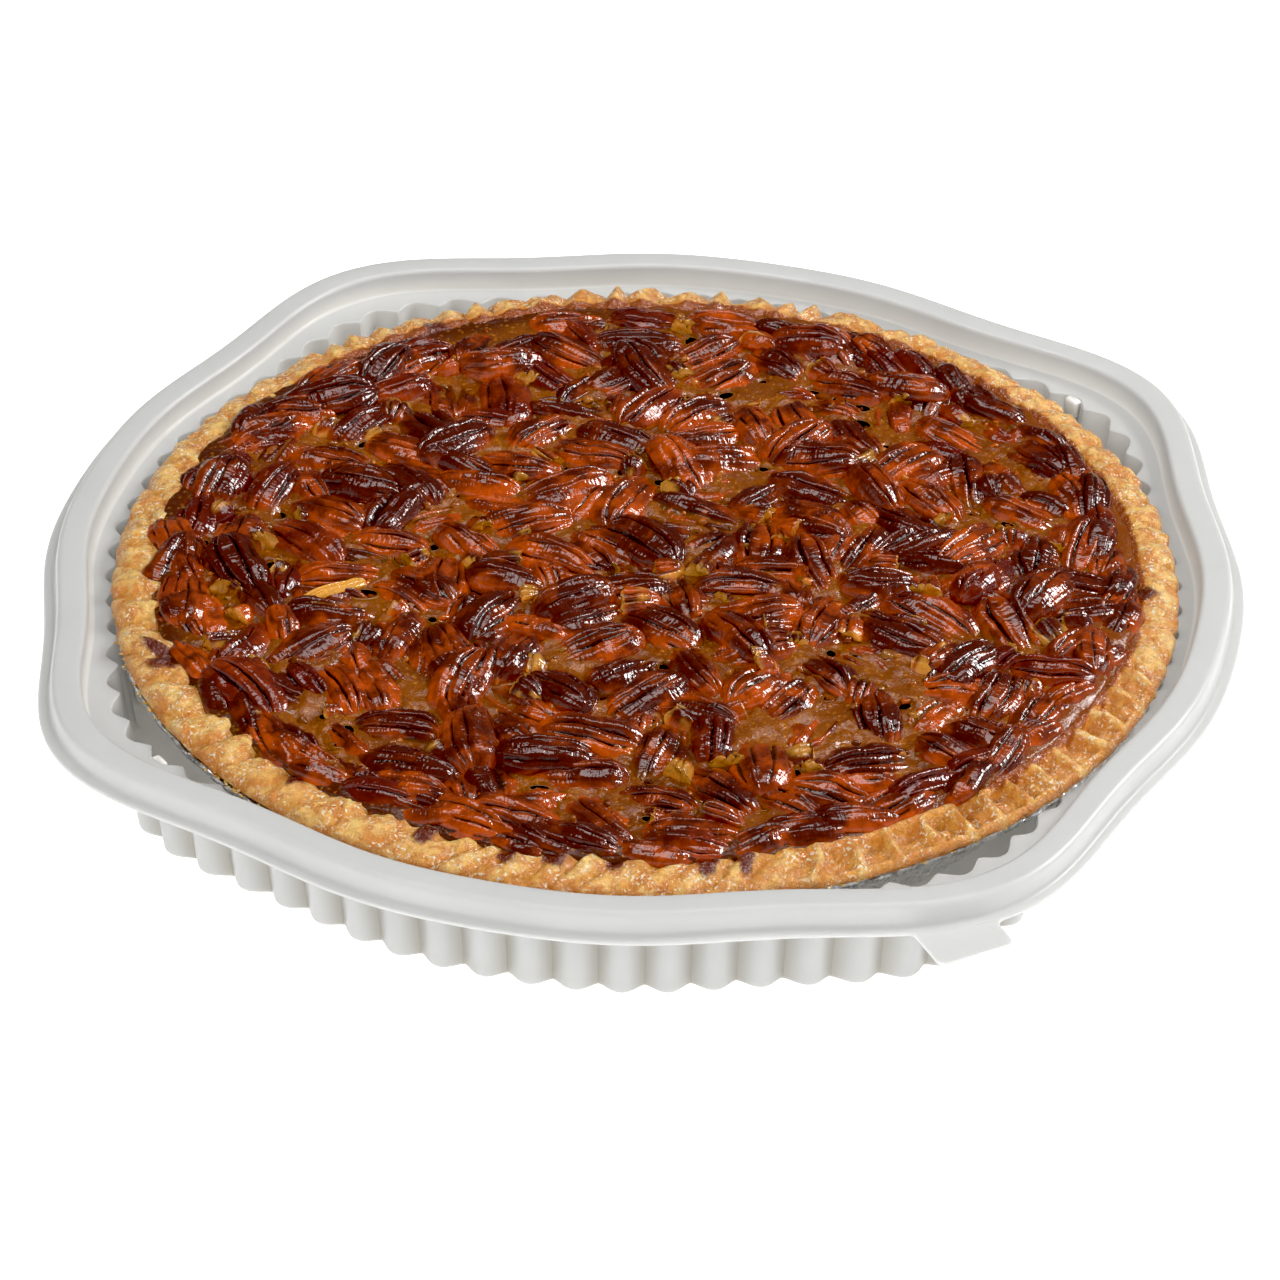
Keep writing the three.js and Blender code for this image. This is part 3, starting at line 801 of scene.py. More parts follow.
def crimp_relief(s, angles, across):
    """Height and inward reach of the crimps, with a mask of their dents and creases for painted shade, and
    one of their tops for painted light.
    """
    style = crimp_styles(angles)
    slant = s.slant * (1 - 0.6 * style["pressed"] - 0.3 * style["jagged"] - 0.4 * (1 - style["plain"]))
    ring = (7 * np.cos(angles), 7 * np.sin(angles))
    drift = 0.42 * lumps(*ring, 0, 41) + 0.27 * lumps(ring[0] * 2.7, ring[1] * 2.7, across * 2.4, 42)
    drift = drift * (1 - 0.6 * style["pressed"])
    broad = np.clip((angles - BROAD[0]) / (BROAD[1] - BROAD[0]), 0, 1)
    cell = s.crimps * angles / TURN - s.merged * broad - slant * (across - 0.5) + drift
    turn_no = np.floor(cell + 0.5)
    c = cell - turn_no
    number = turn_no.astype(np.int64) % (s.crimps - s.merged)
    vary = 1 + 0.55 * scatter(number, 7, 3, 11)
    wander = scatter(number, 9, 2, 12)
    outer = 1 - smooth(0.34, 0.78, across + 0.08 * wander)
    inner = smooth(0.55, 0.95, across)
    round_top, soft_top = bulge(c, 2.2), 0.5 + 0.5 * np.cos(TURN * c)
    lean_top = bulge(np.clip(c + 0.16 * (0.25 - c * c) * 4, -0.5, 0.5), 2.0)
    pointed = np.clip(1 - np.abs(2 * c), 0, 1) ** 0.85
    wall = np.exp(-np.abs(c / 0.13) ** 3)
    floor_of_cell = smooth(0.10, 0.22, across) * (1 - smooth(0.66, 0.78, across))
    dimple = np.exp(-(((np.abs(c) - 0.5) / 0.2) ** 2) - ((across - 0.60 - 0.05 * wander) / 0.13) ** 2)
    pressed = (
        1.1 * wall * smooth(0.0, 0.12, across) * (1 - smooth(0.68, 0.86, across))
        - 1.9 * (1 - wall) * floor_of_cell * vary - s.dent / MM * 0.85 * dimple
        + 0.5 * np.exp(-(((across - 0.84) / 0.10) ** 2)) * (1 + 0.5 * soft_top)
    )
    waved = vary * (0.55 * (lean_top - 0.66) * blend(0.7, 1.6, across) + 1.05 * (soft_top - 0.5))
    roped = vary * 2.1 * (round_top - 0.62) * outer + 0.35 * (1 - outer) - 1.5 * inner
    jagged = vary * 1.8 * (pointed - 0.6) * outer + 0.6 * vary * (soft_top - 0.5)
    spots = smooth(0.1, 0.9, scatter(number, 5, 5, 15))
    plain = vary * (1.1 * (lean_top - 0.66) + 0.5 * (soft_top - 0.5)) - 1.3 * spots * np.exp(
        -((c / 0.26) ** 2) - ((across - 0.55 - 0.2 * wander) / 0.16) ** 2
    )
    height = MM * sum(share * form for share, form in zip(
        style.values(), (pressed, waved, roped, jagged, plain)
    ))
    tops = sum(share * top for share, top in zip(
        style.values(), (wall, lean_top, round_top, pointed, soft_top)
    ))
    hang = style["waved"] * 2.8 + style["plain"] * 1.8 + style["jagged"] * 0.5 + style["roped"] * 0.3
    stand = style["roped"] * 2.0 + style["jagged"] * 1.7 + style["waved"] * 0.8 + style["plain"] * 0.5
    inwards = MM * vary * (tops - 0.5) * (hang * across**3 - stand * (1 - across) ** 2)
    inwards = inwards + 0.9 * MM * (style["jagged"] + style["waved"]) * (1 - across) ** 2
    inwards = inwards - MM * style["pressed"] * (1 - across) ** 2 * (0.7 + 0.5 * (soft_top - 0.5))
    # mask of painted shade in the dents and creases
    dents = style["pressed"] * np.clip(0.75 * (1 - wall) * floor_of_cell + dimple, 0, 1)
    creases = (1 - style["pressed"] - 0.3 * style["waved"]) * (1 - tops) ** 1.6 * blend(1.0, 0.45, across)
    return height, inwards, np.clip(dents + creases, 0, 1), tops


def syrup_mask(s, x, y, radius, angles, across):
    """How much syrup lies on each point of the rim."""
    mask = np.zeros_like(radius)
    ragged = layered(x / 0.003, y / 0.003, 0, 77)
    for direction, reach, half in BLEEDS:
        off = (angles - math.radians(direction) + math.pi) % TURN - math.pi
        sideways = np.abs(off * radius) / ((half + 1.0) * MM)
        out = (radius - s.lip) / ((reach + 4.6) * MM)
        spot = 1 - smooth(0.75, 1.15, np.sqrt(sideways**2 + np.clip(out, 0, None) ** 2) + 0.25 * ragged)
        mask = np.maximum(mask, spot)
    run = math.radians(0.578) * (0.1359 - radius) / MM
    off = (angles - math.radians(214.8) - run + math.pi) % TURN - math.pi
    drip = 1 - smooth(0.7, 1.1, np.abs(off * radius) / (2.9 * MM) + 0.10 * ragged)
    drip = drip * (1 - smooth(0.1408, 0.1422, radius))
    mask = np.maximum(mask, drip)
    patches = 0.05 * lumps(x / 0.011, y / 0.011, 0, 78)
    edge = smooth(0.93, 0.985, across + 0.022 * ragged + patches)
    return np.maximum(mask, edge)


def pastry_material(s):
    """Baked shortcrust: ridges lightened as painted light, dents and creases darkened as painted shade,
    painted glints, toasted edges, fine oily crumbs and stains of syrup.
    """
    material, tree, shader = new_material("baked_pastry")
    place = here(tree)
    marks, fine = mottle(tree, place, 5.5 * MM), mottle(tree, place, 1.4 * MM)
    hollow, peak, stain, film, toasted = (painted(tree, name) for name in CRUST_MASKS)
    # painted light on the raised tops of the crimps
    pale = mix(tree, s.tan, s.light, spread(tree, peak, 0.15, 0.9))
    pale = mix(tree, pale, s.tan, marks["Blotch"], 0.6)
    # painted shade in the dents and creases
    shade = times(tree, hollow, spread(tree, marks["Fleck"], 0.0, 1.0, 0.35, 0.8))
    baked = mix(tree, pale, s.brown, shade)
    baked = mix(tree, baked, s.brown, times(tree, fine["Blotch"], marks["Fleck"]), 0.65)
    baked = mix(tree, baked, s.patch, spread(tree, noise(tree, place, 210, 3, 0.6), 0.45, 0.60), 0.8)
    # painted glints: pale specks mixed into the colour
    painted_glints = spread(tree, noise(tree, place, 1150, 1, 0.5), 0.56, 0.67)
    painted_glints = times(tree, painted_glints, spread(tree, noise(tree, place, 170, 2), 0.38, 0.58))
    baked = mix(tree, baked, s.grain, painted_glints, 0.85)
    baked = mix(tree, baked, s.brown, toasted, 0.8)
    amber = mix(tree, baked, s.thin_film, film, 0.85)
    amber = mix(tree, amber, s.thick_film, spread(tree, film, 0.45, 1.0, 0.0, 0.9))
    wet = math_node(tree, "MAXIMUM", stain, film)
    dry = spread(tree, fine["Fleck"], 0.1, 0.9, 0.26, 0.50)
    crumb = plus(tree, times(tree, fine["Fleck"], 0.55), times(tree, fine["Grain"], 0.5))
    crumb = plus(tree, crumb, times(tree, fine["Blotch"], 0.6))
    rough = node(tree, "ShaderNodeMix", {0: wet, 2: crumb, 3: 0.5}).outputs[0]
    soft = bump(tree, marks["Fleck"], 0.6 * MM, 0.7)
    give(tree, shader, {
        "Base Color": mix(tree, amber, s.syrup, stain),
        "Roughness": node(tree, "ShaderNodeMix", {0: wet, 2: dry, 3: 0.13}).outputs[0],
        "Normal": bump(tree, rough, 0.5 * MM, 0.75, soft),
        "Coat Weight": plus(tree, times(tree, marks["Fleck"], 0.6), 0.4),
        "Coat Roughness": 0.20, "Coat IOR": 1.7,
        "Coat Normal": bump(tree, noise(tree, place, 650, 2, 0.6), 1.1 * MM, 0.9, soft),
        "Subsurface Weight": 0.3, "Subsurface Radius": (1, 0.45, 0.2), "Subsurface Scale": 0.002,
    })
    return material


class PIE_OT_crust(bpy.types.Operator):
    """Makes the pastry case with its crimped rim"""

    bl_idname = "pie.crust"
    bl_label = "Crust"

    def execute(self, context):
        s = context.scene.pie_crust
        section, across_at, first, last = crust_section(s)
        crust = spin_section("pastry_case", len(section), s.crimps * 18, 18)
        stations, angles = stations_and_angles(crust)
        radius, height = np.array(section)[stations].T
        across = across_at[stations]
        on_rim = ((stations >= first) & (stations < last)).astype(float)
        free = on_rim * smooth(-0.02, 0.06, across + 0.03) * (1 - smooth(1.0, 1.07, across))
        x, y = radius * np.cos(angles), radius * np.sin(angles)
        rise, inwards, hollow, peak = crimp_relief(s, angles, np.clip(across, 0, 1))
        dough = 0.55 * layered(x / 0.0062, y / 0.0062, height / 0.0062, 31, 2)
        dough = dough + 0.38 * layered(x / 0.0023, y / 0.0023, height / 0.0023, 57, 2)
        wander = 0.8 * lumps(3 * np.cos(angles), 3 * np.sin(angles), 0, 19)
        stain = syrup_mask(s, x, y, radius, angles, across)
        height = height + free * (rise + dough * MM + 0.25 * MM * stain * (across < 0.98))
        radius = radius - free * inwards + on_rim * MM * (0.45 * wander + 0.35 * dough)
        set_points(crust, around(radius, angles, height) + MIDDLE)
        # mask of painted shade, full in the dents and creases
        paint(crust, "hollow", np.clip(hollow, 0, 1) * on_rim)
        # mask of painted light, full on the tops of the crimps
        paint(crust, "peak", np.clip(peak, 0, 1) * on_rim)
        paint(crust, "stain", np.clip(stain, 0, 1) * on_rim)
        side = window(angles, 318, 152, 14)
        ragged = 0.06 * layered(x / 0.004, y / 0.004, 0, 91)
        reach = blend(0.93, 0.58, side)
        paint(crust, "film", smooth(reach, reach + 0.20, across + ragged) * on_rim)
        under = 1 - smooth(0.0, 0.10, across)
        paint(crust, "toasted", np.clip(under * (0.75 + 0.4 * ragged / 0.06), 0, 1))
        finish(crust, pastry_material(s), 70, "crust")
        return {"FINISHED"}


# Layout of the kernels

SHORTEST, LENGTH_SPREAD = 24.0, 7.0
WIDTH_RATIO, WIDTH_SPREAD = 0.5, 0.09
SINK, SINK_SPREAD, RIDER_SINK = 2.0, 1.6, 0.6
RIDER_STEP = 6
RIM_FILLERS = 58
BARE_START, BARE_END = math.radians(88), math.radians(150)  # the part of the rim without rim fillers
SLIVER = {
    "x": -77.6, "y": -39.5, "heading": math.radians(48), "long": 21, "wide": 4.4, "tilt": 0.04, "roll": 0.1,
    "rider": True, "sink": -1.6, "low": 0.38, "bare": 1.0,
}


def make_draw(seed):
    """A repeatable source of numbers from 0 to 1."""
    state = seed

    def draw():
        nonlocal state
        state = state * 16807 % 2147483647
        return state / 2147483647

    return draw


def emptiest_place(kernels, draw, field):
    """Of several random places, the one farthest from the kernels already laid."""
    best = None
    for _ in range(14):
        radius = field * math.sqrt(draw())
        angle = TURN * draw()
        x, y = radius * math.cos(angle), radius * math.sin(angle)
        room = min((math.hypot(k["x"] - x, k["y"] - y) for k in kernels), default=1e9)
        if best is None or room > best["room"]:
            best = {"x": x, "y": y, "room": room, "radius": radius, "angle": angle}
    return best


def lay_kernel(kernels, draw, index, field):
    place = emptiest_place(kernels, draw, field)
    rider = index % RIDER_STEP == RIDER_STEP - 1
    wander = 35 if place["radius"] > 0.8 * field else 90
    heading = place["angle"] + math.pi / 2 + math.radians(wander) * (2 * draw() - 1)
    long = SHORTEST + LENGTH_SPREAD * draw()
    wide = long * (WIDTH_RATIO + WIDTH_SPREAD * draw())
    tilt = math.radians(14) * (2 * draw() - 1)
    roll = math.radians(22) * (2 * draw() - 1)
    sink = SINK + SINK_SPREAD * draw()
    return {
        "x": place["x"], "y": place["y"], "heading": heading, "long": long, "wide": wide,
        "tilt": tilt, "roll": roll, "rider": rider, "sink": RIDER_SINK if rider else sink,
    }


def discs(kernel):
    """Three discs stand for a kernel while the kernels are packed."""
    reach = (kernel["long"] - kernel["wide"]) / 2
    c, s = math.cos(kernel["heading"]), math.sin(kernel["heading"])
    return [(a, kernel["x"] + a * c, kernel["y"] + a * s) for a in (-reach, 0.0, reach)]


def shove(kernel, along, push_x, push_y):
    """Moves a kernel by a push at one of its discs, and turns it as the push does."""
    reach = kernel["long"] / 2
    kernel["x"] += push_x
    kernel["y"] += push_y
    turning = push_y * math.cos(kernel["heading"]) - push_x * math.sin(kernel["heading"])
    kernel["heading"] += along * turning / (reach * reach)


def part_neighbours(a, b):
    spacing = 0.86 * (a["wide"] + b["wide"]) / 2
    for i in range(3):
        for j in range(3):
            along_a, ax, ay = discs(a)[i]
            along_b, bx, by = discs(b)[j]
            distance = max(math.hypot(bx - ax, by - ay), 1e-6)
            if distance < spacing:
                push = 0.25 * (spacing - distance) / distance
                shove(a, along_a, (ax - bx) * push, (ay - by) * push)
                shove(b, along_b, (bx - ax) * push, (by - ay) * push)


def keep_inside(kernel, field):
    for i in range(3):
        along, x, y = discs(kernel)[i]
        radius = math.hypot(x, y)
        excess = radius + kernel["wide"] / 2 - field
        if excess > 0:
            shove(kernel, along, -x * excess / radius, -y * excess / radius)


@functools.lru_cache
def lay_kernels(seed, number, field):
    """The places of the pecan halves, in millimetres round the middle of the pie."""
    draw = make_draw(seed)
    kernels = []
    for index in range(number):
        kernels.append(lay_kernel(kernels, draw, index, field))
    bedded = [k for k in kernels if not k["rider"]]
    for _ in range(60):
        for index, a in enumerate(bedded):
            for b in bedded[index + 1:]:
                if math.hypot(a["x"] - b["x"], a["y"] - b["y"]) < SHORTEST + LENGTH_SPREAD:
                    part_neighbours(a, b)
        for kernel in kernels:
            keep_inside(kernel, field)
    for kernel in kernels:
        out = 1 + 0.018 * float(smooth(85, 118, math.hypot(kernel["x"], kernel["y"])))
        kernel["x"] *= out
        kernel["y"] *= out
    return kernels


@functools.lru_cache
def lay_fillers(seed, number, field, kernels, whole):
    """Places for sunken halves and then broken pieces, in the widest gaps that are left."""
    draw = make_draw(seed + 5)
    taken = [d[1:] for k in lay_kernels(seed, kernels, field) for d in discs(k)]
    fillers = []

    def room(x, y):
        return np.hypot(*(np.array(taken) - (x, y)).T).min()

    for n in range(number):
        at_rim = n < RIM_FILLERS
        low = 0.955 if at_rim else 0
        start, span = (BARE_END, TURN - BARE_END + BARE_START) if at_rim else (0, TURN)
        tries = [
            (0.99 * field * math.sqrt(low + (1 - low) * draw()), start + span * draw()) for _ in range(40)
        ]
        x, y = max(((r * math.cos(a), r * math.sin(a)) for r, a in tries), key=lambda p: room(*p))
        intact = n < whole
        long = (20 if intact else 13) + 7 * draw()
        around = math.atan2(y, x) + math.pi / 2
        turns = [around + (0.32 if at_rim else math.pi / 2) * (2 * draw() - 1) for _ in range(10)]
        reach = 0.34 * long
        heading = max(turns, key=lambda a: room(x + reach * math.cos(a), y + reach * math.sin(a))
                      + room(x - reach * math.cos(a), y - reach * math.sin(a)))
        filler = {
            "x": x, "y": y, "heading": heading + (math.pi if draw() < 0.5 else 0), "long": long,
            "wide": long * (0.44 + 0.16 * draw()), "tilt": math.radians(14) * (2 * draw() - 1),
            "roll": math.radians(34) * (2 * draw() - 1), "rider": False, "low": 0.75 + 0.25 * draw(),
            "sink": (1.1 if at_rim else 2.6 if intact else 0.9) + 1.3 * draw(),
        }
        if not intact:
            filler["cut"] = -0.4 + 0.75 * draw()
        fillers.append(filler)
        taken += [d[1:] for d in discs(filler)]
    return fillers


def all_kernels(s):
    """The pecan halves as they lie on top, then the sunken halves and the broken pieces."""
    field = s.field / MM
    kernels = lay_kernels(s.seed, s.kernels, field)
    fillers = lay_fillers(s.seed, s.sunken + s.chips, field, s.kernels, s.sunken)
    return kernels, fillers[:s.sunken], fillers[s.sunken:] + [SLIVER]


def surface_level(s, radius):
    """Height of the bare filling, in metres, at a radius in metres."""
    return CREST - s.edge_drop + s.crown * (1 - (radius / 0.1329) ** 2)


# Filling

HOLE_SIDES = 14


def disc_from_square(u, v):
    """Spreads a square grid from -1 to 1 evenly over a disc."""
    wide = np.abs(u) >= np.abs(v)
    safe_u, safe_v = np.where(u == 0, 1, u), np.where(v == 0, 1, v)
    radius = np.where(wide, u, v)
    turn = np.where(wide, math.pi / 4 * v / safe_u, math.pi / 2 - math.pi / 4 * u / safe_v)
    return radius * np.cos(turn), radius * np.sin(turn)


def across_kernel(kernel, x, y):
    """1 on the outline of a kernel, less inside it and more outside."""
    c, s = math.cos(kernel["heading"]), math.sin(kernel["heading"])
    dx, dy = x - kernel["x"], y - kernel["y"]
    along = np.abs(dx * c + dy * s) / (kernel["long"] / 2)
    over = np.abs(dy * c - dx * s) / (kernel["wide"] / 2)
    return (along**2.4 + over**2.4) ** (1 / 2.4)


def lay_holes(s, kernels):
    """Burst bubbles (x, y, radius, stretch, heading) in mm, half of them as slits beside a kernel."""
    draw = make_draw(911)
    holes = []
    tries = 0
    while len(holes) < s.holes and tries < 9000:
        tries += 1
        beside = len(holes) % 2 == 0
        size = 1.0 + 1.2 * draw() ** 2
        if beside:
            kernel = kernels[int(draw() * len(kernels))]
            side, along = (1 if draw() < 0.5 else -1), 1.2 * draw() - 0.6
            c, d = math.cos(kernel["heading"]), math.sin(kernel["heading"])
            out = side * (kernel["wide"] / 2 * (1 - abs(along) ** 2.4) ** 0.42 + size * 0.5)
            x = kernel["x"] + along * kernel["long"] / 2 * c - out * d
            y = kernel["y"] + along * kernel["long"] / 2 * d + out * c
            stretch, heading = 1.3 + 1.3 * draw(), kernel["heading"]
        else:
            radius, angle = 126 * math.sqrt(draw()), TURN * draw()
            x, y = radius * math.cos(angle), radius * math.sin(angle)
            stretch, heading = 1 + 0.6 * draw(), math.pi * draw()
        near = [k for k in kernels if math.hypot(k["x"] - x, k["y"] - y) < 20]
        room = min((across_kernel(k, x, y) for k in near), default=2)
        clear = all(math.hypot(h[0] - x, h[1] - y) > 5 for h in holes)
        if clear and math.hypot(x, y) < 127 and room > (1.0 if beside else 1.0 + size / 16):
            holes.append((x, y, size, stretch, heading))
    return holes


def glaze_heights(s, x, y, kernels, chips, holes):
    """Height of the glaze over the bare filling and its masks of painted shade next to kernels and in holes,
    for places in mm from the middle.
    """
    climb = np.zeros_like(x)
    kernel_shade = np.zeros_like(x)
    for n, kernel in enumerate(kernels + chips):
        reach = kernel["long"] / 2 + 6
        near = np.nonzero((np.abs(x - kernel["x"]) < reach) & (np.abs(y - kernel["y"]) < reach))[0]
        share = across_kernel(kernel, x[near], y[near])
        gap = np.clip(share - 0.93, 0, None) * kernel["wide"] * 0.55
        lift = s.climb / MM * (0.75 + 0.45 * float(scatter(n, 4, 9, 3)))
        lift *= 0.5 if kernel["rider"] or "cut" in kernel else 1
        up = lift * np.exp(-gap / 1.3)
        climb[near] = np.maximum(climb[near], up) + 0.25 * np.minimum(climb[near], up)
        # mask of painted shade, highest where the glaze meets a kernel
        kernel_shade[near] = np.maximum(kernel_shade[near], np.exp(-gap / 0.9))
    radius = np.hypot(x, y)
    swell = 0.45 * lumps(x / 15, y / 15, 0, 21) + 0.55 * lumps(x / 5.0, y / 5.0, 0, 22)
    swell += 0.42 * lumps(x / 2.2, y / 2.2, 0, 23) - 0.6
    swell *= 1 - smooth(122, 131, radius)
    shore = smooth(129.5, 133.5, radius) * (0.35 + 0.25 * lumps(x / 6, y / 6, 0, 24))
    pit = np.zeros_like(x)
    for hx, hy, size, stretch, heading in holes:
        near = np.nonzero((np.abs(x - hx) < 7) & (np.abs(y - hy) < 7))[0]
        dx, dy = x[near] - hx, y[near] - hy
        c, d = math.cos(heading), math.sin(heading)
        far = np.hypot((dx * c + dy * d) / stretch, dy * c - dx * d) / size
        pit[near] = np.maximum(pit[near], np.exp(-(far / 1.3) ** 4))
    return climb + swell + shore - 2.6 * pit, kernel_shade, pit


def glaze_material(s):
    """Set syrup: amber where it is thin, brown where it is thick, and glassy all over. Painted shade darkens
    it next to the kernels, in burst bubbles and along the rim, and the rim on the lit side gets a lighter
    painted colour.
    """
    material, tree, shader = new_material("set_syrup")
    place = here(tree)
    marks, fine = mottle(tree, place, 13 * MM), mottle(tree, place, 3.2 * MM)
    base = mix(tree, s.amber, s.brown, marks["Blotch"])
    base = mix(tree, base, s.brown, fine["Blotch"], 0.5)
    base = mix(tree, base, s.burnt_and_shade, fine["Fleck"], 0.32)
    # painted shade where the glaze meets a kernel
    base = mix(tree, base, s.kernel_shade_colour, painted(tree, "kernel_shade"), 0.5)
    # painted shade along the rim
    base = mix(tree, base, s.burnt_and_shade, painted(tree, "shore"), 0.85)
    bits = node(tree, "ShaderNodeTexVoronoi", {"Vector": place, "Scale": 520.0}).outputs["Distance"]
    shards = times(tree, spread(tree, bits, 0.34, 0.2), spread(tree, fine["Grain"], 0.4, 0.6))
    base = mix(tree, base, s.shard, shards, 0.6)
    # painted light on the rim strip of the lit side
    base = mix(tree, base, s.rim_lit_side, painted(tree, "warm"), 0.85)
    ripples = bump(tree, noise(tree, place, 330, 4, 0.65, 0.6), 0.7 * MM, 0.65)
    ripples = bump(tree, noise(tree, place, 1300, 1), 0.16 * MM, 0.6, ripples)
    give(tree, shader, {
        # painted shade in the pits of the burst bubbles
        "Base Color": mix(tree, base, s.burnt_and_shade, spread(tree, painted(tree, "pit"), 0.35, 0.8)),
        "Roughness": spread(tree, fine["Fleck"], 0.2, 0.9, 0.35, 0.5),
        "Specular IOR Level": 0.1, "Coat Weight": 1, "Coat Roughness": 0.03, "Coat Normal": ripples,
        "Normal": bump(tree, fine["Fleck"], 0.25 * MM, 0.5, ripples),
    })
    return material


class PIE_OT_filling(bpy.types.Operator):
    """Makes the syrup filling, which climbs a little up every kernel"""

    bl_idname = "pie.filling"
    bl_label = "Filling"

    def execute(self, context):
        s = context.scene.pie_filling
        kernels, sunken, chips = all_kernels(context.scene.pie_pecans)
        chips = sunken + chips
        holes = lay_holes(s, kernels)
        deselect()
        bpy.ops.mesh.primitive_grid_add(x_subdivisions=s.cells, y_subdivisions=s.cells, size=2)
        filling = name_piece("syrup_filling")
        u, v, _ = points_of(filling).T
        x, y = disc_from_square(u, v)
        x, y = x * s.radius, y * s.radius
        radius = np.hypot(x, y)
        rise, kernel_shade, pit = glaze_heights(s, x / MM, y / MM, kernels, chips, holes)
        height = surface_level(s, radius) + rise * MM
        set_points(filling, np.stack([x, y, height], 1) + MIDDLE)
        angles = np.arctan2(y, x) % TURN
        ragged = lumps(x / 0.006, y / 0.006, 0, 44)
        near_rim = smooth(0.1235, 0.1325, radius + 0.0022 * ragged)
        bright = window(angles, 322, 100, 20)
        # mask of painted shade round the kernels
        paint(filling, "kernel_shade", kernel_shade)
        # mask of the bubbles' pits, also used for painted shade
        paint(filling, "pit", pit)
        # painted shade along the rim, weaker on the lit side, which gets its own painted colour
        paint(filling, "shore", near_rim * (1 - 0.9 * bright))
        paint(filling, "warm", near_rim * bright)
        edit(filling)
        bpy.ops.mesh.select_mode(type="EDGE")
        bpy.ops.mesh.select_all(action="DESELECT")
        bpy.ops.mesh.select_non_manifold()
        for drop, share in ((4.0, 1.0), ((CREST - FILLING_BASE) / MM - 5.5, 0.845)):
            bpy.ops.mesh.extrude_region_move(TRANSFORM_OT_translate={"value": (0, 0, -drop * MM)})
            bpy.ops.transform.resize(value=(share, share, 1), center_override=MIDDLE)
        bpy.ops.mesh.edge_face_add()
        face_outwards()
        finish(filling, glaze_material(s), 80, "pecan_filling")
        make_holes(s, holes, kernels, chips)
        return {"FINISHED"}


def hole_material(s):
    """The inside of a burst bubble darkened as painted shade, with a thin glassy edge."""
    material, tree, shader = new_material("burst_bubble")
    deep = painted(tree, "deep")
    give(tree, shader, {
        # painted shade deep inside the bubble
        "Base Color": mix(tree, s.hole_edge, s.hole_shade, spread(tree, deep, 0.1, 0.6)),
        "Roughness": spread(tree, deep, 0.3, 0.9, 0.12, 0.5), "Specular IOR Level": 0.1,
        "Coat Weight": spread(tree, deep, 0.1, 0.6, 1.0, 0.0), "Coat Roughness": 0.04,
        "Normal": bump(tree, noise(tree, here(tree), 500), 0.2 * MM, 0.4),
    })
    return material


def make_holes(s, holes, kernels, chips):
    """One small crater for each burst bubble, all joined."""
    profile = np.array([
        (1.8, -0.5), (1.4, -0.05), (1.15, 0.03), (1.02, -0.02), (0.95, -0.2), (0.88, -0.8), (0.4, -1.3),
    ])
    craters = []
    for n, (x, y, size, stretch, heading) in enumerate(holes):
        level, _, _ = glaze_heights(s, np.array([x]), np.array([y]), kernels, chips, [])
        deselect()
        bpy.ops.mesh.primitive_circle_add(vertices=HOLE_SIDES, radius=1)
        crater = name_piece("crater")
        edit(crater)
        for _ in profile[1:]:
            bpy.ops.mesh.extrude_region_move()
        bpy.ops.mesh.edge_face_add()
        bpy.ops.object.mode_set(mode="OBJECT")
        flat = points_of(crater)
        ring = np.repeat(np.arange(len(profile)), HOLE_SIDES)
        out, up = profile[ring].T
        turn = np.arctan2(flat[:, 1], flat[:, 0])
        out = out * size * (1 + 0.1 * lumps(np.cos(turn) * 1.5, np.sin(turn) * 1.5, n, 8))
        dx, dy = out * np.cos(turn) * stretch, out * np.sin(turn)
        c, d = math.cos(heading), math.sin(heading)
        px, py = x + dx * c - dy * d, y + dx * d + dy * c
        base = surface_level(s, math.hypot(x, y) * MM) / MM + level[0] - 0.2
        set_points(crater, np.stack([px, py, base + up * size], 1) * MM + MIDDLE)
        # mask of painted shade, full down inside the crater
        paint(crater, "deep", smooth(1.1, 0.93, profile[ring][:, 0]))
        edit(crater)
        face_outwards()
        craters.append(crater)
    finish(join(craters, "burst_bubbles"), hole_material(s), 80)


# Kernels

KINDS = {
    # place of the two long grooves, their depth, side grooves, dip along the middle, flat face up
    "halves_plump": {"place": 0.31, "groove": 1.0, "side": 0.6, "centre": 0.25, "turned": False},
    "halves_ribbed": {"place": 0.36, "groove": 1.15, "side": 1.2, "centre": 0.5, "turned": False},
    "halves_slim": {"place": 0.26, "groove": 0.9, "side": 0.8, "centre": 0.0, "turned": False},
    "halves_rough": {"place": 0.34, "groove": 0.75, "side": 1.3, "centre": 0.9, "turned": False},
    "halves_turned": {"place": 0.30, "groove": 0.9, "side": 0.3, "centre": 0.0, "turned": True},
}
KIND_ORDER = (
    "halves_plump", "halves_ribbed", "halves_slim", "halves_rough", "halves_turned", "halves_ribbed",
    "halves_slim", "halves_plump", "halves_rough", "halves_slim", "halves_ribbed", "halves_turned",
    "halves_plump",
)


def blank_kernel(name, segments, rings):
    """A sphere that lies along X, as its length and its turn round X at each point."""
    deselect()
    bpy.ops.mesh.primitive_uv_sphere_add(
        segments=segments, ring_count=rings, radius=1, rotation=(0, math.pi / 2, 0)
    )
    bpy.ops.object.transform_apply(location=False, rotation=True, scale=False)
    return name_piece(name)


def crowd(places, centres, width, gain):
    """Moves evenly spread places from 0 to 1 closer together round some centres."""
    fine = np.linspace(0, 1, 721)
    weight = 1 + gain * sum(np.exp(-(((fine - c) / width) ** 2)) for c in centres)
    total = np.concatenate([[0], np.cumsum((weight[1:] + weight[:-1]) / 2)])
    return np.interp(places, total / total[-1], fine)


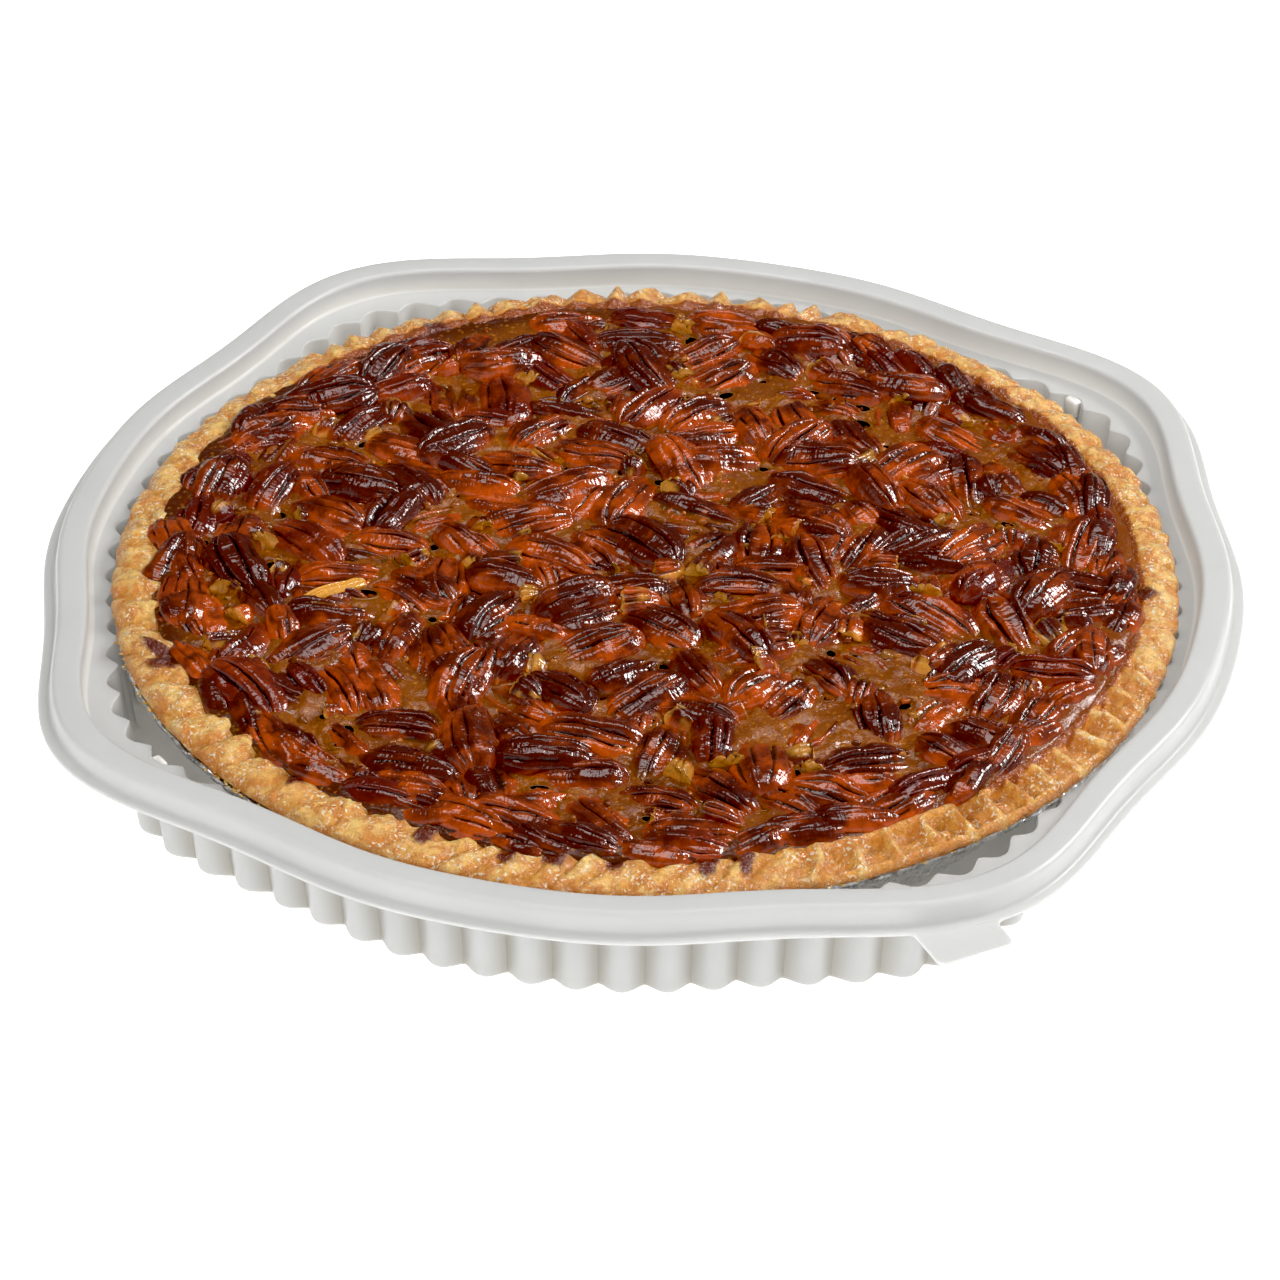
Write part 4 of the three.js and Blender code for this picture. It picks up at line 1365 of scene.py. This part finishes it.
def kernel_points(s, kind, kernel, sphere, n):
    """Shapes one pecan half. Returns its points in mm, how ridged they are, and its grain."""
    along = np.clip(sphere[:, 0], -1, 1)
    share = (np.arctan2(sphere[:, 2], sphere[:, 1]) / TURN + 0.02) % 1
    share = np.interp(share, (0, 0.78, 1), (0, 0.56, 1))
    groove_at = math.acos(kind["place"]) / TURN
    share = crowd(share, (0.02 + groove_at, 0.52 - groove_at), 0.022, 2.2)
    turn = (share - 0.02) * TURN
    half, wide = kernel["long"] / 2, kernel["wide"] / 2
    high = s.height / MM * kernel.get("low", 1)
    seed = 1000 + n
    vary = [float(scatter(n, k, 5, 2)) for k in range(10)]
    ends = 1 - np.abs(along)
    body = np.clip(1 - np.abs(along) ** 2.9, 0, 1) ** 0.5
    width = wide * 1.06 * body * (1 + 0.11 * along * vary[0])
    width *= 1 + 0.07 * lumps(along * 2.2, 0, n, seed)
    dome = high * np.clip(1 - np.abs(along) ** 3.3, 0, 1) ** 0.5 * (0.94 + 0.1 * vary[1])
    c, v = np.cos(turn), np.sin(turn)
    over = np.sign(c) * np.abs(c) ** 0.88
    y = width * over
    z = np.where(v > 0, dome * np.clip(v, 0, 1) ** 0.86, -0.22 * dome * np.abs(v))
    top = smooth(-0.05, 0.25, v)
    fade = smooth(0, 0.3, ends)
    place = kind["place"] * (1 - 0.42 * along**2) + 0.03 * vary[2]
    left = place + 0.05 * lumps(along * 2.6, 1, n, seed)
    right = place + 0.05 * lumps(along * 2.6, 7, n, seed)
    narrow = 0.062 + 0.015 * vary[3]
    sides = np.abs(over) - 0.78 - 0.05 * lumps(along * 2, over, n, seed + 4)
    x_mm, y_mm = along * half, over * wide
    strength = 1 + 0.45 * lumps(along * 2.7, over * 2, n, seed + 6)
    grooves = np.exp(-np.abs((over - left) / narrow) ** 1.5) + np.exp(-np.abs((over + right) / narrow) ** 1.5)
    grooves = grooves * np.clip(strength, 0.3, 1.4)
    flanks = smooth(0.25, 0.6, np.abs(over))
    side = np.exp(-((sides / 0.06) ** 2)) * smooth(-0.5, 0.4, lumps(along * 3, over, n, seed + 3))
    folds = 0.42 * lumps(x_mm / 6.5, y_mm / 1.25, n, seed) + 0.22 * lumps(x_mm / 2.8, y_mm / 0.8, n, seed + 1)
    ribbed = flanks * smooth(-0.3, 0.6, lumps(along * 1.7, over * 1.5, n, seed + 9))
    pucker = lumps(x_mm / 1.05 + 0.35 * y_mm, y_mm / 3.4, n, seed + 2) * blend(0.10, 0.30, ribbed)
    knobs = 0.38 * lumps(x_mm / 3.6, y_mm / 3.0, n, seed + 8)
    if kind["turned"]:
        valley = np.exp(-((over / (0.17 + 0.08 * (along + 1) / 2)) ** 2)) * smooth(-1.0, -0.2, along)
        seam = np.exp(-((over / 0.05) ** 2)) * smooth(0.1, 0.7, along)
        hollow = np.exp(-(((np.abs(over) - 0.5) / 0.2) ** 2)) * fade
        depth = 2.3 * valley * fade - 1.3 * seam * fade + 0.7 * hollow
        z = z * np.where(v > 0, 0.80, 1)
        groove_mask = np.clip(valley * fade + 0.3 * hollow, 0, 1)
        folds = folds * 1.25
    else:
        deep = s.groove / MM * kind["groove"] * (1 + 0.25 * vary[4])
        depth = (deep * grooves + 0.7 * kind["side"] * side) * fade
        depth = depth + kind["centre"] * np.exp(-((over / 0.16) ** 2)) * fade
        groove_mask = np.clip(grooves * fade + 0.7 * kind["side"] * side * fade, 0, 1)
    depth = (depth + folds + pucker + knobs) * top
    y = y - depth * c * 0.8
    z = z - depth * np.clip(v, 0, 1)
    x = along * half * 1.04
    z = z - (0.5 + 0.7 * vary[5]) * along**2
    y = y + 1.6 * vary[6] * along**2 * wide / 7
    if "cut" in kernel:
        cut = half * kernel["cut"] + 0.9 * lumps(y / 1.7, z / 1.7, n, seed + 5)
        x = np.minimum(x, cut + 0.15 * y)
    twist = 0.22 * vary[7] * along
    y, z = y * np.cos(twist) - z * np.sin(twist), y * np.sin(twist) + z * np.cos(twist)
    # mask for painted shade: low in the grooves and folds
    ridge = np.clip(1 - groove_mask - 0.5 * (folds + pucker), 0, 1)
    return np.stack([x, y, z], 1), ridge, np.stack([along * half, turn * wide * 0.9], 1)


def place_kernel(s_fill, kernel, points):
    """Tilts a kernel and beds it in the filling, and says how far each point stands out of it."""
    tilt = Matrix.Rotation(kernel["heading"], 3, "Z") @ Matrix.Rotation(kernel["tilt"], 3, "Y")
    tilt = np.array(tilt @ Matrix.Rotation(kernel["roll"], 3, "X"))
    level = surface_level(s_fill, math.hypot(kernel["x"], kernel["y"]) * MM) / MM
    points = points @ tilt.T + (kernel["x"], kernel["y"], level - kernel["sink"])
    top = (FILLING_TOP + 0.9 * MM) / MM
    points[:, 2] = np.where(points[:, 2] > top - 1, top - np.exp(-(points[:, 2] - top + 1)), points[:, 2])
    return points, points[:, 2] - level


def kernel_material(s):
    """Glazed pecan skin: grooves and folds darkened as painted shade, warm flanks, fine ribs across and a
    thick gloss.
    """
    material, tree, shader = new_material("glazed_pecan")
    place = here(tree)
    grain = node(tree, "ShaderNodeUVMap", uv_map="grain").outputs[0]
    ribs_at, veins_at = (
        node(tree, "ShaderNodeMapping", {"Vector": grain, "Scale": size}).outputs[0]
        for size in ((0.95, 0.28, 1.0), (0.14, 0.85, 1.0))
    )
    ribs = noise(tree, ribs_at, 1.0, 1.0, 0.45, 0.4)
    veins = noise(tree, veins_at, 1.0, 0.5, 0.5, 0.4)
    marks, fine = mottle(tree, place, 6 * MM), mottle(tree, place, 1.6 * MM)
    rise = painted(tree, "rise")
    warmth = plus(tree, times(tree, painted(tree, "tone"), 1.1), marks["Blotch"])
    warmth = plus(tree, warmth, times(tree, spread(tree, rise, 3.6, 0.6), 0.5))
    warmth = spread(tree, plus(tree, warmth, times(tree, veins, 0.5)), 0.95, 2.5)
    skin = mix(tree, s.skin, s.warm, warmth)
    skin = mix(tree, skin, s.wine, painted(tree, "wine"))
    skin = mix(tree, skin, s.deep, fine["Blotch"], 0.30)
    # painted shade in the grooves and folds
    skin = mix(tree, skin, s.deep, spread(tree, painted(tree, "ridge"), 0.75, 0.15))
    skin = mix(tree, skin, s.bare, painted(tree, "bare"))
    film = bump(tree, ribs, 0.42 * MM, 0.7)
    film = bump(tree, veins, 0.30 * MM, 0.5, film)
    film = bump(tree, noise(tree, place, 1500, 1), 0.10 * MM, 0.6, film)
    give(tree, shader, {
        "Base Color": mix(tree, skin, s.foot, spread(tree, rise, 1.1, -0.2), 0.6),
        "Roughness": spread(tree, fine["Fleck"], 0.1, 0.9, 0.40, 0.60), "Specular IOR Level": 0.08,
        "Coat Weight": 1, "Coat Roughness": 0.02, "Coat IOR": 1.65, "Coat Normal": film,
        "Normal": bump(tree, fine["Fleck"], 0.15 * MM, 0.5, film),
    })
    return material


def add_grain(piece, grain):
    """Stores the length along and the way round a kernel, in mm, as the UV map "grain"."""
    layer = piece.data.uv_layers.get("grain") or piece.data.uv_layers.new(name="grain")
    loops = np.empty(len(piece.data.loops), int)
    piece.data.loops.foreach_get("vertex_index", loops)
    layer.data.foreach_set("uv", grain[loops].ravel())


def make_kernels(s, s_fill, kernels, name, kind, segments, rings, numbers, material):
    blank = blank_kernel("blank_" + name, segments, rings)
    while blank.data.uv_layers:
        blank.data.uv_layers.remove(blank.data.uv_layers[0])
    sphere = points_of(blank)
    made = []
    for n, kernel in zip(numbers, kernels):
        mesh = blank.data.copy()
        piece = bpy.data.objects.new(name, mesh)
        bpy.context.scene.collection.objects.link(piece)
        points, ridge, grain = kernel_points(s, kind, kernel, sphere, n)
        points, rise = place_kernel(s_fill, kernel, points)
        set_points(piece, points * MM + MIDDLE)
        paint(piece, "ridge", ridge)
        paint(piece, "rise", rise)
        tone = 0.5 + 0.5 * float(scatter(n, 3, 8, 6))
        paint(piece, "tone", np.full(len(rise), tone))
        out = smooth(40, 112, math.hypot(kernel["x"], kernel["y"]))
        wine = 0.5 * smooth(0.25, 0.75, float(scatter(n, 6, 2, 8)) * out)
        paint(piece, "wine", np.full(len(rise), wine))
        face = smooth(kernel.get("cut", 2) - 0.02, kernel.get("cut", 2) + 0.1, sphere[:, 0])
        worn = smooth(0.35, 0.7, lumps(sphere[:, 0] * 2.3, sphere[:, 1] * 1.5, n, 71))
        bare = 0.6 * np.maximum(face, worn * ("cut" in kernel))
        paint(piece, "bare", np.maximum(bare, kernel.get("bare", 0)))
        add_grain(piece, grain)
        made.append(piece)
    bpy.data.objects.remove(blank)
    return finish(join(made, name), material, 180)


class PIE_OT_kernels(bpy.types.Operator):
    """Makes the glazed pecan halves, one piece for each kind"""

    bl_idname = "pie.kernels"
    bl_label = "Pecan halves"

    def execute(self, context):
        s, s_fill = context.scene.pie_pecans, context.scene.pie_filling
        kernels, sunken, _ = all_kernels(s)
        material = kernel_material(s)
        for name, kind in KINDS.items():
            numbers = [n for n in range(len(kernels)) if KIND_ORDER[n % len(KIND_ORDER)] == name]
            chosen = [kernels[n] for n in numbers]
            make_kernels(s, s_fill, chosen, name, kind, 50, 36, numbers, material)
        numbers = range(300, 300 + len(sunken))
        make_kernels(s, s_fill, sunken, "halves_sunken", KINDS["halves_rough"], 36, 26, numbers, material)
        return {"FINISHED"}


class PIE_OT_chips(bpy.types.Operator):
    """Makes the small broken pieces of pecan between the halves"""

    bl_idname = "pie.chips"
    bl_label = "Pecan pieces"

    def execute(self, context):
        s, s_fill = context.scene.pie_pecans, context.scene.pie_filling
        _, _, chips = all_kernels(s)
        numbers = range(500, 500 + len(chips))
        material = bpy.data.materials["glazed_pecan"]
        make_kernels(s, s_fill, chips, "broken_pieces", KINDS["halves_slim"], 28, 20, numbers, material)
        return {"FINISHED"}


def make_crumbs(name, number, shape, material):
    """Rough little balls; shape(n, ball) gives the points of each one and its masks."""
    deselect()
    bpy.ops.mesh.primitive_ico_sphere_add(subdivisions=2, radius=1)
    blank = name_piece("blank_crumb")
    ball = points_of(blank)
    made = []
    for n in range(number):
        piece = bpy.data.objects.new(name, blank.data.copy())
        bpy.context.scene.collection.objects.link(piece)
        points, masks = shape(n, ball)
        set_points(piece, points)
        for mask, value in masks.items():
            paint(piece, mask, np.full(len(ball), value))
        made.append(piece)
    bpy.data.objects.remove(blank)
    finish(join(made, name), bpy.data.materials[material], 80)


def roughness_of(ball, n, depth, seed):
    """How far each point of a crumb stands out."""
    return 1 + depth * lumps(ball[:, 0] * 1.4, ball[:, 1] * 1.4, ball[:, 2] * 1.4 + n, seed)


class PIE_OT_crumbs(bpy.types.Operator):
    """Makes the small crumbs of kernel that are set in the glaze"""

    bl_idname = "pie.crumbs"
    bl_label = "Crumbs"

    def execute(self, context):
        s, s_fill = context.scene.pie_pecans, context.scene.pie_filling
        kernels, sunken, chips = all_kernels(s)
        rng = np.random.default_rng(s.seed)
        radius, turn = 131 * np.sqrt(rng.random(s.crumbs)), TURN * rng.random(s.crumbs)
        x, y = radius * np.cos(turn), radius * np.sin(turn)
        rise, _, _ = glaze_heights(s_fill, x, y, kernels, sunken + chips, [])
        level = surface_level(s_fill, radius * MM) / MM + rise

        def shape(n, ball):
            size = rng.uniform(0.6, 1.8) * np.array((1, rng.uniform(0.5, 0.9), rng.uniform(0.5, 0.8)))
            rough = roughness_of(ball, n, 0.55, 61)
            spin = np.array(Matrix.Rotation(rng.uniform(0, TURN), 3, "Z"))
            points = (ball * rough[:, None] * size) @ spin.T + (x[n], y[n], level[n] + 0.1)
            # the low parts of a crumb get a little painted shade
            masks = {"ridge": np.clip(0.6 + rough / 2, 0, 1), "rise": 1.5, "tone": rng.random(), "wine": 0.0}
            return points * MM + MIDDLE, {**masks, "bare": rng.uniform(0.0, 0.35)}

        make_crumbs("crumbs", s.crumbs, shape, "glazed_pecan")
        return {"FINISHED"}


class PIE_OT_rim_crumbs(bpy.types.Operator):
    """Makes the crumbs of pastry that lie on the bare rim of the tin"""

    bl_idname = "pie.rim_crumbs"
    bl_label = "Crumbs on the tin"

    def execute(self, context):
        tin = context.scene.pie_tin
        rng = np.random.default_rng(6)
        height = CREST - tin.lift + tin.bead_height + 0.2 * MM
        # the crumbs get the painted light of the crimps' tops
        masks = {mask: 0.8 * (mask == "peak") for mask in CRUST_MASKS}

        def shape(n, ball):
            turn = math.radians(rng.uniform(206, 246) if n % 3 else rng.uniform(302, 342))
            radius = tin.rim + rng.uniform(-0.2, 1.3) * MM
            size = rng.uniform(0.25, 0.7) * MM * np.array((1, rng.uniform(0.6, 1), 0.6))
            place = np.array((radius * math.cos(turn), radius * math.sin(turn), height)) + MIDDLE
            return ball * roughness_of(ball, n, 0.5, 62)[:, None] * size + place, masks

        make_crumbs("rim_crumbs", context.scene.pie_crust.rim_crumbs, shape, "baked_pastry")
        return {"FINISHED"}


# Stage

CAMERA_PLACE = (0.2418, -1.0188, CREST + 0.7077)
CAMERA_LENS = 128.28  # millimetres


def aim(place, target):
    """The rotation that points a light at place towards target."""
    return (Vector(target) - Vector(place)).to_track_quat("-Z", "Y").to_euler()


def add_light(name, place, target, size, power):
    bpy.ops.object.light_add(type="AREA", location=place, rotation=aim(place, target))
    light = bpy.context.object
    light.name = name
    light.data.shape = "RECTANGLE"
    light.data.size, light.data.size_y = size
    light.data.energy = power
    return light


class PIE_OT_stage(bpy.types.Operator):
    """Sets up the pale floor, the soft light and the camera"""

    bl_idname = "pie.stage"
    bl_label = "Floor, light and camera"

    def execute(self, context):
        s = context.scene.pie_stage
        deselect()
        bpy.ops.mesh.primitive_plane_add(size=8)
        floor = name_piece("floor")
        material, tree, shader = new_material("pale_floor")
        tint = mix(tree, s.floor, [0.985 * v for v in s.floor], noise(tree, here(tree), 3))
        give(tree, shader, {
            "Base Color": tint, "Roughness": 0.9, "Emission Color": tint, "Emission Strength": s.glow,
        })
        floor.data.materials.append(material)
        world = bpy.data.worlds.new("studio")
        context.scene.world = world
        world.use_nodes = True
        sky = world.node_tree
        way = node(sky, "ShaderNodeTexCoord").outputs["Generated"]
        towards = (math.sin(s.turn), -math.cos(s.turn), 0)
        facing = node(sky, "ShaderNodeVectorMath", {0: way, 1: towards}, operation="DOT_PRODUCT")
        height = node(sky, "ShaderNodeSeparateXYZ", {0: way}).outputs["Z"]
        low = spread(sky, height, 0.62, 0.30, 0, s.front)
        low = times(sky, low, spread(sky, facing.outputs["Value"], -0.35, 0.3))
        glow = plus(sky, low, s.sky)
        give(sky, sky.nodes["Background"], {"Strength": glow, "Color": (1, 1, 1, 1)})
        for name, turn, height, far, size, power in (
            ("key", 22, 38, 1.5, (0.50, 0.50), s.key),
            ("top", 85, 74, 1.3, (0.85, 0.55), s.top),
            ("fill_above", 255, 66, 2.0, (2.4, 2.4), s.fill * 1.0),
            ("fill_front", 280, 30, 2.2, (2.4, 1.4), s.fill * 1.85),
            ("fill_left", 200, 34, 2.2, (2.4, 1.4), s.fill * 0.95),
        ):
            around, up = s.turn + math.radians(turn), math.radians(height)
            place = Vector((math.cos(up) * math.cos(around), math.cos(up) * math.sin(around), math.sin(up)))
            light = add_light(name, place * far + Vector((0, 0, CREST)), (0, 0, CREST), size, power)
            light.visible_glossy = not name.startswith("fill")
        turn, lean, roll = s.turn, s.elevation, s.roll
        forward = Vector((-math.sin(turn) * math.cos(lean), math.cos(turn) * math.cos(lean), -math.sin(lean)))
        right = Vector((math.cos(turn), math.sin(turn), 0))
        up = right.cross(forward)
        across = math.cos(roll) * right + math.sin(roll) * up
        upright = math.cos(roll) * up - math.sin(roll) * right
        pose = Matrix((across, upright, -forward)).transposed()
        bpy.ops.object.camera_add(location=CAMERA_PLACE, rotation=pose.to_euler())
        camera = bpy.context.object
        camera.name = "camera"
        camera.data.sensor_width, camera.data.lens = 36, CAMERA_LENS
        camera.data.clip_start = 0.05
        context.scene.camera = camera
        view = context.scene.view_settings
        view.view_transform = "Standard"
        view.use_curve_mapping = True
        view.curve_mapping.black_level = (s.black,) * 3
        view.curve_mapping.update()
        return {"FINISHED"}


class PIE_PT_panel(bpy.types.Panel):
    """Lists the pieces of the pie and their settings"""

    bl_idname = "PIE_PT_panel"
    bl_label = "Pecan pie"
    bl_space_type = "VIEW_3D"
    bl_region_type = "UI"
    bl_category = "Pecan pie"

    def draw(self, context):
        for operators, settings in PANEL_ROWS:
            box = self.layout.box()
            for operator in operators:
                box.operator(operator.bl_idname)
            group = getattr(context.scene, settings)
            for key in group.bl_rna.properties.keys():
                if key not in ("rna_type", "name"):
                    box.prop(group, key)


SETTINGS = {
    "pie_stage": StageSettings,
    "pie_tray": TraySettings,
    "pie_tin": TinSettings,
    "pie_crust": CrustSettings,
    "pie_filling": FillingSettings,
    "pie_pecans": PecanSettings,
}
OPERATORS = (
    PIE_OT_stage, PIE_OT_tray, PIE_OT_tin, PIE_OT_crust, PIE_OT_filling, PIE_OT_kernels, PIE_OT_chips,
    PIE_OT_crumbs, PIE_OT_rim_crumbs,
)
PANEL_ROWS = (
    ((PIE_OT_stage,), "pie_stage"),
    ((PIE_OT_tray,), "pie_tray"),
    ((PIE_OT_tin,), "pie_tin"),
    ((PIE_OT_crust, PIE_OT_rim_crumbs), "pie_crust"),
    ((PIE_OT_filling,), "pie_filling"),
    ((PIE_OT_kernels, PIE_OT_chips, PIE_OT_crumbs), "pie_pecans"),
)
CLASSES = (*SETTINGS.values(), *OPERATORS, PIE_PT_panel)


def register():
    for cls in CLASSES:
        bpy.utils.register_class(cls)
    for name, group in SETTINGS.items():
        setattr(bpy.types.Scene, name, bpy.props.PointerProperty(type=group))


def unregister():
    for name in SETTINGS:
        delattr(bpy.types.Scene, name)
    for cls in reversed(CLASSES):
        bpy.utils.unregister_class(cls)


def main():
    register()
    bpy.ops.pie.stage()
    bpy.ops.pie.tray()
    bpy.ops.pie.tin()
    bpy.ops.pie.crust()
    bpy.ops.pie.filling()
    bpy.ops.pie.kernels()
    bpy.ops.pie.chips()
    bpy.ops.pie.crumbs()
    bpy.ops.pie.rim_crumbs()


if __name__ == "__main__":
    main()
